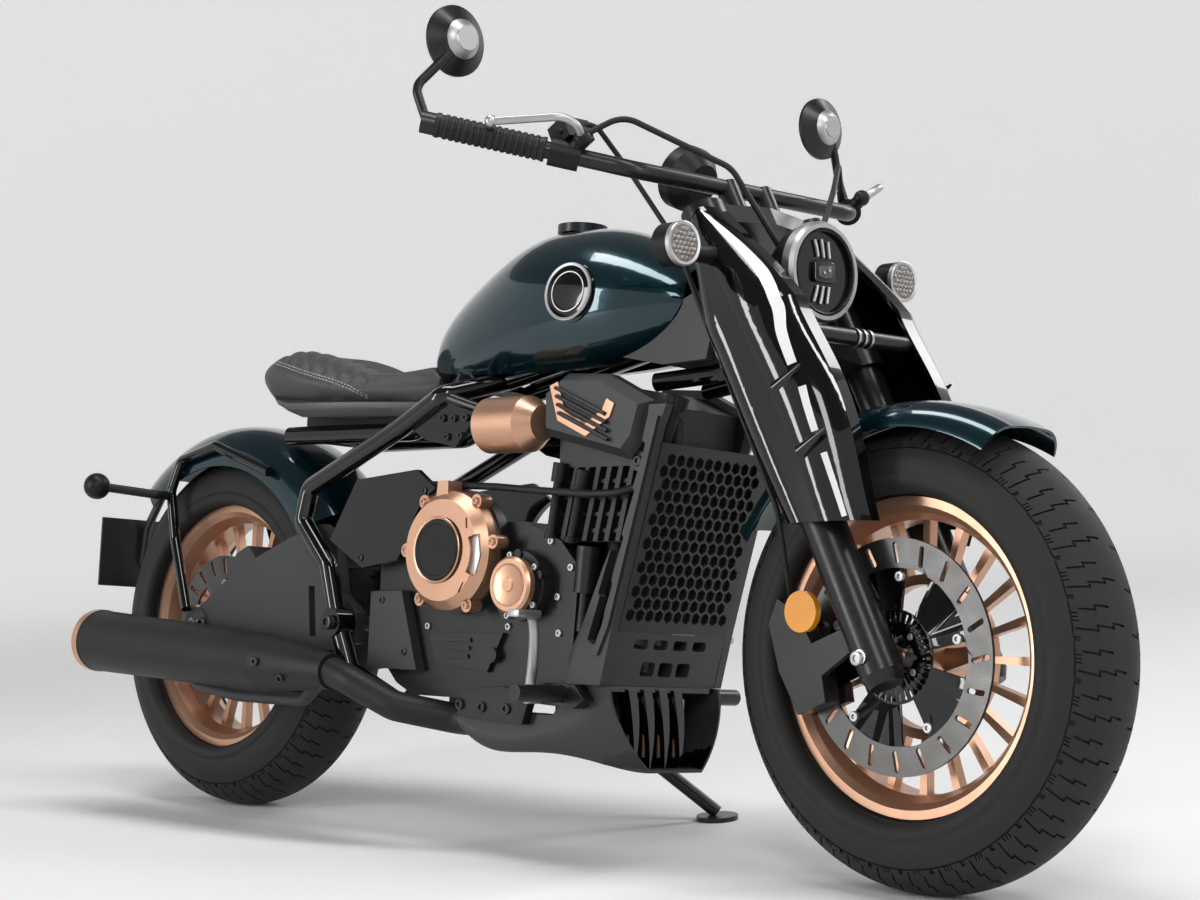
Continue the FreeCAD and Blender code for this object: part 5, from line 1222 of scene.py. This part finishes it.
SEATED_SCREWS = (
    SeatedScrews("engine_screws", ("crankcase", "cylinders"), 0.0058, 0.0050,
        ((0.592, 0.333), (0.776, 0.337), (0.745, 0.583), (0.820, 0.505), (0.880, 0.385), (0.886, 0.330),
        (0.560, 0.540), (0.905, 0.560), (0.905, 0.430), (0.860, 0.470)), SILVER_AND_PAINTED_REFLECTION, "silver"),
    SeatedScrews("lower_screws", ("foot_pegs", "belly_pan"), 0.0085, 0.0050,
        ((0.714, 0.214), (0.763, 0.212), (0.817, 0.212), (0.690, 0.180), (0.880, 0.240))),
    SeatedScrews("head_screws", ("head_caps",), 0.0080, 0.0050, ((0.857, 0.650), (1.040, 0.588)),
        both_sides=True),
    SeatedScrews("side_screws", ("side_covers", "lower_side_plates"), 0.0055, 0.0030,
        ((0.452, 0.440), (0.600, 0.548), (0.500, 0.372), (0.560, 0.290))),
    SeatedScrews("pipe_screws", ("exhaust_pipe", "muffler"), 0.0075, 0.0060,
        ((0.318, 0.262), (0.372, 0.238))),
    SeatedScrews("pivot_screws", ("frame", "swing_arm", "rear_axle"), 0.0120, 0.0060,
        ((0.412, 0.332), (0.020, 0.320))),
)


@dataclass
class EngineTrim:
    """The engine's cover insert, plates and screws."""

    clutch: Point = (0.674, -0.165, 0.452)
    pump: Point = (0.815, -0.150, 0.400)

    def covers(self) -> None:
        """Sets the black insert of the clutch cover, a silver patch of painted reflection on that cover, and the
        rim of the pump cover.
        """
        x, y, z = self.clutch
        insert = turned([(0, 0.00001), (0, 0.0485), (0.0016, 0.0485), (0.0030, 0.0470), (0.0030, 0.0415),
            (0.0022, 0.0405), (0.0022, 0.00001)], "clutch_insert", 72)
        aimed(insert, (x - 0.008, y - 0.0004, z), (0, -1, 0))
        # A silver patch on the copper cover's front flank: a painted reflection of light, not a window or a part.
        glass = slab_of([(x + u, z + v) for u, v in ((0.062, -0.031), (0.069, -0.008), (0.064, 0.018),
            (0.080, 0.023), (0.0862, -0.008), (0.077, -0.038))], -0.1605, -0.1568, "clutch_painted_reflection", 0.0008)
        hand_over(settle(glass, Place.BIKE), Body.CHASSIS, SILVER_AND_PAINTED_REFLECTION)
        hand_over(settle(smooth(insert), Place.BIKE), Body.CHASSIS, BLACK_PLASTIC)
        ring = turned([(0, 0.0487), (0, 0.0530), (0.0010, 0.0530), (0.0020, 0.0520), (0.0010, 0.0487)],
            "clutch_insert_rim", 72)
        aimed(ring, (x - 0.008, y - 0.0002, z), (0, -1, 0))
        hand_over(settle(smooth(ring), Place.BIKE), Body.CHASSIS, COPPER)
        x, y, z = self.pump
        dish = turned([(0, 0.00001), (0, 0.033), (0.0012, 0.033), (0.0022, 0.031), (0.0012, 0.028),
            (0.0008, 0.00001)], "pump_dish", 56)
        aimed(dish, (x, y, z), (0, -1, 0))
        hand_over(settle(smooth(dish), Place.BIKE), Body.CHASSIS, COPPER)
        hub = turned([(0, 0.00001), (0, 0.012), (0.0030, 0.0105), (0.0030, 0.00001)], "pump_hub", 32)
        aimed(hub, (x, y, z), (0, -1, 0))
        hand_over(settle(smooth(hub), Place.BIKE), Body.CHASSIS, COPPER)

    def bolts(self) -> None:
        """Sets the screws of the covers, the head, the frame's bracket, the pan and the pipe."""
        cx, _, cz = self.clutch
        lug = [((cx + 0.098 * math.cos(a), -0.1495, cz + 0.098 * math.sin(a)), (0, -1, 0))
               for a in (math.radians(d) for d in (52, 128, 180, 232, 300))]
        lug.append(((cx + 0.102 * math.cos(math.radians(8)), -0.1495,
            cz + 0.102 * math.sin(math.radians(8))), (0, -1, 0)))
        screws(lug, 0.0062, 0.0045, "clutch_cover_screws", Place.BIKE, Body.CHASSIS, BRONZE)
        px, _, pz = self.pump
        around = [((px + 0.049 * math.cos(a), -0.1322, pz + 0.049 * math.sin(a)), (0, -1, 0))
                  for a in (math.tau * (k + 0.5) / 5 for k in range(5))]
        screws(around, 0.0052, 0.0045, "pump_cover_screws", Place.BIKE, Body.CHASSIS, SILVER_AND_PAINTED_REFLECTION)
        for group in SEATED_SCREWS:
            spots = seated(list(group.spots), group.nodes, Place.BIKE)
            spots = mirrored(spots) if group.both_sides else spots
            screws(spots, group.radius, group.height, group.name, Place.BIKE, Body.CHASSIS, group.finish)
        bracket = [((x, -0.1422, z), (0, -1, 0)) for x, z in ((0.641, 0.663), (0.667, 0.662),
            (0.694, 0.662), (0.653, 0.633), (0.684, 0.634))]
        screws(bracket, 0.0062, 0.0045, "bracket_screws", Place.BIKE, Body.CHASSIS, SCREW_BLACK)
        neck = mirrored([((1.015, -0.083, 0.794), (0, -1, 0))])
        screws(neck, 0.0105, 0.006, "neck_screws", Place.BIKE, Body.CHASSIS, SILVER_AND_PAINTED_REFLECTION)

    def muffler_end(self) -> None:
        """Sets the copper ring in the muffler's end."""
        ends = frame["nodes"]["muffler"]
        into = FRAMES[Place.BIKE].inverted()
        spots = [into @ v.co for v in ends.data.vertices]
        back = min(p.x for p in spots)
        rim = [p for p in spots if p.x < back + 0.004]
        centre = sum(rim, Vector()) / len(rim)
        axis = Vector((-0.499, 0, 0.022)).normalized()
        ring = turned([(-0.014, 0.0552), (-0.014, 0.0562), (0.0016, 0.0560), (0.0026, 0.0545),
            (0.0020, 0.0470), (0.0005, 0.0470), (0.0005, 0.0549)], "muffler_end_ring", 72)
        aimed(ring, (centre.x, -0.190, 0.282), axis)
        hand_over(settle(smooth(ring), Place.BIKE), Body.CHASSIS, COPPER)

    def badges(self) -> None:
        """Sets a bare black disc in a silver ring on each side of the tank."""
        into = FRAMES[Place.BIKE].inverted()
        node = frame["nodes"]["tank_badges"]
        for side in (-1, 1):
            label = "left" if side > 0 else "right"
            spots = [into @ v.co for v in node.data.vertices]
            spots = [p for p in spots if p.y * side > 0]
            faces = [f for f in node.data.polygons if (into @ f.center).y * side > 0]
            normal = Vector()
            for f in faces:
                n = into.to_3x3() @ f.normal
                if n.y * side > 0.7:
                    normal += n * f.area
            normal.normalize()
            centre = sum(spots, Vector()) / len(spots)
            top = max((p - centre).dot(normal) for p in spots)
            ring = turned([(-0.002, 0.0405), (-0.002, 0.0452), (0.0004, 0.0452), (0.0012, 0.0436),
                (0.0004, 0.0405)], "badge_ring_" + label, 64)
            aimed(ring, centre + normal * top, normal)
            hand_over(settle(smooth(ring), Place.BIKE), Body.CHASSIS, SILVER_AND_PAINTED_REFLECTION)
            inner = turned([(-0.001, 0.0300), (-0.001, 0.0318), (0.0005, 0.0318), (0.0007, 0.0309),
                (0.0005, 0.0300)], "badge_line_" + label, 64)
            aimed(inner, centre + normal * top, normal)
            hand_over(settle(smooth(inner), Place.BIKE), Body.CHASSIS, SILVER_AND_PAINTED_REFLECTION)

    def cover_bars(self) -> None:
        """Lays a black bar over each rib that crosses the copper frame of a head cover."""
        for side, label in ((-1, "right"), (1, "left")):
            lines = []
            for rib in range(4):
                x, z = 0.8905 + 0.003 * rib, 0.7005 - 0.013 * rib
                ends = [(x, side * 0.1452, z), (x + 0.052, side * 0.1458, z - 0.022),
                    (x + 0.105, side * 0.1452, z - 0.044)]
                lines.append(smooth(tube(ends, 0.0029, "bar", 3, 6), 50))
            hand_over(settle(join(lines, "head_bars_" + label), Place.BIKE), Body.CHASSIS,
                BLACK_METAL)

    def vanes(self) -> None:
        """Sets the copper plates between the pan's vanes."""
        plates = []
        for middle in (-0.053, -0.019, 0.015, 0.050):
            plates.append(slab_of([(0.994, 0.150), (0.998, 0.150), (0.998, 0.238), (0.994, 0.238)],
                middle - 0.010, middle + 0.010, "plate", 0.0006))
        hand_over(settle(join(plates, "pan_plates"), Place.BIKE), Body.CHASSIS, COPPER)

    def pedals(self) -> None:
        """Shapes the brake pedal and the gear lever: a round boss, a bent arm and a flat pad."""
        for side, top in ((-1, 0.354), (1, 0.330)):
            label = "left" if side > 0 else "right"
            arm = smooth(tube([(0.890, side * 0.160, 0.238), (0.892, side * 0.171, 0.244),
                (0.902, side * 0.176, 0.272), (0.914, side * 0.186, top - 0.032),
                (0.921, side * 0.198, top - 0.006), (0.925, side * 0.206, top)], 0.0082, "arm", 3, 8))
            boss = smooth(turned([(0, 0.00001), (0, 0.0150), (0.024, 0.0150), (0.026, 0.0130),
                (0.026, 0.0085), (0.0245, 0.0075), (0.0245, 0.00001)], "boss", 32))
            aimed(boss, (0.890, side * 0.150, 0.238), (0, side, 0))
            w, h, c = 0.0125, 0.0058, 0.0024
            shape = [(-w, -h + c), (-w + c, -h), (w - c, -h), (w, -h + c), (w, h - c), (w - c, h),
                (-w + c, h), (-w, h - c)]
            pad = slab_of([(0.925 + x, top + 0.002 + z) for x, z in shape],
                *sorted((side * 0.197, side * 0.245)), "pad", 0.0015)
            piece = join([arm, boss, pad], "pedal_" + label)
            hand_over(settle(piece, Place.BIKE), Body.CHASSIS, SILVER_AND_PAINTED_REFLECTION, ("foot_levers",)
                if side > 0 else ())

    def build(self) -> None:
        """Builds the trim of the engine, the tank and the muffler."""
        self.cover_bars()
        self.vanes()
        self.pedals()
        self.covers()
        self.bolts()
        self.muffler_end()
        self.badges()


def dress_nodes() -> None:
    """Gives each solid that keeps its own form the material of its slot."""
    for part in frame["record"]["subparts"]:
        piece = frame["nodes"][part["node"]]
        piece.data.materials.clear()
        piece.data.materials.append(NODE_FINISH.get(part["node"], FINISHES[part["material_slot"]]).material())


# Stage

@dataclass(frozen=True)
class FloorPaint(Finish):
    """The pale paint of floor and wall, which stays pale in the distance."""

    glow: float = 0.42
    near: float = 1.5
    far: float = 7.0

    def extend(self, tree: bpy.types.NodeTree, shader: bpy.types.Node, group: bpy.types.Node,
               bump: bpy.types.Node) -> None:
        """Lifts the far wall for what looks at it, and leaves the light on the object alone."""
        rays, place = tree.nodes.new("ShaderNodeLightPath"), tree.nodes.new("ShaderNodeTexCoord")
        reach = tree.nodes.new("ShaderNodeVectorMath")
        reach.operation = "LENGTH"
        tree.links.new(place.outputs["Object"], reach.inputs[0])
        spread = tree.nodes.new("ShaderNodeMapRange")
        spread.interpolation_type = "SMOOTHSTEP"
        spread.inputs["From Min"].default_value = self.near
        spread.inputs["From Max"].default_value = self.far
        spread.inputs["To Max"].default_value = self.glow
        tree.links.new(reach.outputs["Value"], spread.inputs["Value"])
        seen = None
        for output in ("Is Camera Ray", "Is Glossy Ray", "Is Transmission Ray"):
            if seen is None:
                seen = rays.outputs[output]
                continue
            add = tree.nodes.new("ShaderNodeMath")
            add.operation = "ADD"
            add.use_clamp = True
            tree.links.new(seen, add.inputs[0])
            tree.links.new(rays.outputs[output], add.inputs[1])
            seen = add.outputs[0]
        strength = tree.nodes.new("ShaderNodeMath")
        strength.operation = "MULTIPLY"
        tree.links.new(seen, strength.inputs[0])
        tree.links.new(spread.outputs[0], strength.inputs[1])
        shader.inputs["Emission Color"].default_value = (1, 1, 1, 1)
        tree.links.new(strength.outputs[0], shader.inputs["Emission Strength"])


@dataclass
class Studio:
    """The seamless pale floor, the soft lamps and the camera."""

    reach: Point = (3.2389, -2.490231, 0.345736)
    azimuth: float = 133.304
    elevation: float = -0.799
    roll: float = -2.852
    lens: float = 66.42
    lamps: tuple[tuple[Point, tuple[float, float], float], ...] = (((3.2, -3.4, 3.1), (0.9, 2.2), 66.0),
        ((-1.9, -3.9, 1.6), (0.7, 2.8), 80.0), ((1.2, 3.6, 3.0), (1.4, 2.0), 60.0),
        ((0.0, -0.4, 3.8), (3.0, 0.7), 70.0), ((4.4, 0.9, 1.6), (0.4, 2.8), 40.0),
        ((3.0, 0.2, 4.0), (0.4, 2.4), 60.0))

    def camera(self) -> None:
        """Sets up the camera at the photograph's viewing angle."""
        eye = joint_point("rear_wheel_axle") + Vector(self.reach)
        bpy.ops.object.camera_add(location=eye)
        camera = bpy.context.object
        turn = Matrix.Rotation(math.radians(self.azimuth - 90.0), 4, "Z")
        tip = Matrix.Rotation(math.radians(90.0 + self.elevation), 4, "X")
        roll = Matrix.Rotation(math.radians(self.roll), 4, "Z")
        camera.matrix_world = Matrix.Translation(eye) @ turn @ tip @ roll
        camera.data.lens = self.lens
        camera.data.sensor_width = 36.0
        camera.data.clip_end = 60.0
        bpy.context.scene.camera = camera

    def floor(self) -> None:
        """Spins the pale floor, which rises to a wall all round without a corner."""
        section = [(0.0, 0.0), (3.0, 0.0), (6.0, 0.0)]
        section += [(6.0 + 3.0 * math.sin(math.radians(a)), 3.0 - 3.0 * math.cos(math.radians(a)))
            for a in range(6, 91, 6)]
        section += [(9.0, 6.0)]
        deselect()
        bpy.ops.mesh.primitive_circle_add(vertices=3, radius=0.1, fill_type="NOTHING")
        floor = bpy.context.object
        floor.name = "floor"
        mesh = bpy.data.meshes.new("floor")
        mesh.from_pydata([(x, 0, z) for x, z in section], [(k, k + 1) for k in range(len(section) - 1)], [])
        floor.data = mesh
        floor.matrix_world = Matrix.Identity(4)
        pick(floor)
        bpy.ops.object.mode_set(mode="EDIT")
        bpy.ops.mesh.select_all(action="SELECT")
        bpy.ops.mesh.spin(steps=64, angle=math.tau, center=(0, 0, 0), axis=(0, 0, 1))
        bpy.ops.mesh.select_all(action="SELECT")
        bpy.ops.mesh.remove_doubles(threshold=0.0005)
        bpy.ops.mesh.normals_make_consistent(inside=True)
        bpy.ops.object.mode_set(mode="OBJECT")
        smooth(floor, 60)
        paint = FloorPaint("floor_paint", (0.82, 0.82, 0.82), (0.80, 0.80, 0.80), (0.6, 0.7), cloud=1.5,
            depth=0.0)
        floor.data.materials.append(paint.material())

    def light(self) -> None:
        """Hangs the soft lamps, and sets a dim even world."""
        for number, (spot, size, power) in enumerate(self.lamps):
            bpy.ops.object.light_add(type="AREA", location=spot)
            lamp = bpy.context.object
            lamp.name = f"lamp_{number}"
            lamp.data.shape = "RECTANGLE"
            lamp.data.size, lamp.data.size_y = size
            lamp.data.energy = power
            aim = Vector((0.0, -0.1, 0.5)) - Vector(spot)
            lamp.rotation_euler = aim.to_track_quat("-Z", "Y").to_euler()
        world = bpy.data.worlds.new("studio")
        bpy.context.scene.world = world
        world.use_nodes = True
        world.node_tree.nodes["Background"].inputs["Color"].default_value = (0.9, 0.9, 0.92, 1)
        world.node_tree.nodes["Background"].inputs["Strength"].default_value = 0.16

    def build(self) -> None:
        """Makes the whole stage."""
        bpy.context.scene.view_settings.view_transform = "Standard"
        self.camera()
        self.floor()
        self.light()


# Solids that keep their form and get soft edges
SOFTENED = (
    Carried("head_caps", "grey_panel", GREY_PANEL, 0.0014),
    Carried("side_covers", "gloss_black", GLOSS_BLACK, 0.0014),
    Carried("lower_side_plates", "grey_panel", GREY_PANEL, 0.0016),
    Carried("foot_pegs", "black_metal", BLACK_METAL, 0.0012),
    Carried("front_caliper", "black_metal", BLACK_METAL, 0.0014),
    Carried("clutch_cover", "copper", COPPER, 0.0010),
    Carried("cap_inserts", "copper", COPPER, 0.0008),
    Carried("radiator_shroud", "grey_panel", GREY_PANEL, 0.0010),
)


def main() -> None:
    """Builds the stage and every piece."""
    Studio().build()
    dress_nodes()
    Tyre("front_tyre", Place.FRONT_WHEEL, Body.FRONT_WHEEL, 0.0745, 0.049).build()
    Tyre("rear_tyre", Place.REAR_WHEEL, Body.REAR_WHEEL, 0.080, 0.055).build()
    WheelTrim().build()
    ForkCovers().build()
    Headlamp().build()
    Signals().build()
    Controls().build()
    Saddle().build()
    EngineTrim().build()
    TwoTone("intake_canister", "copper", COPPER, low=(-9, -9, -9), high=(0.7265, 9, 9)).build()
    FrontDisc().build()
    TwoTone("belly_pan", "grey_panel", GREY_PANEL, 0.0006, second=GLOSS_BLACK, low=(0.972, -0.092, 0.136),
        high=(1.2, 0.092, 0.2535)).build()
    for softened in SOFTENED:
        softened.build()
    deselect()


if __name__ == "__main__":
    main()
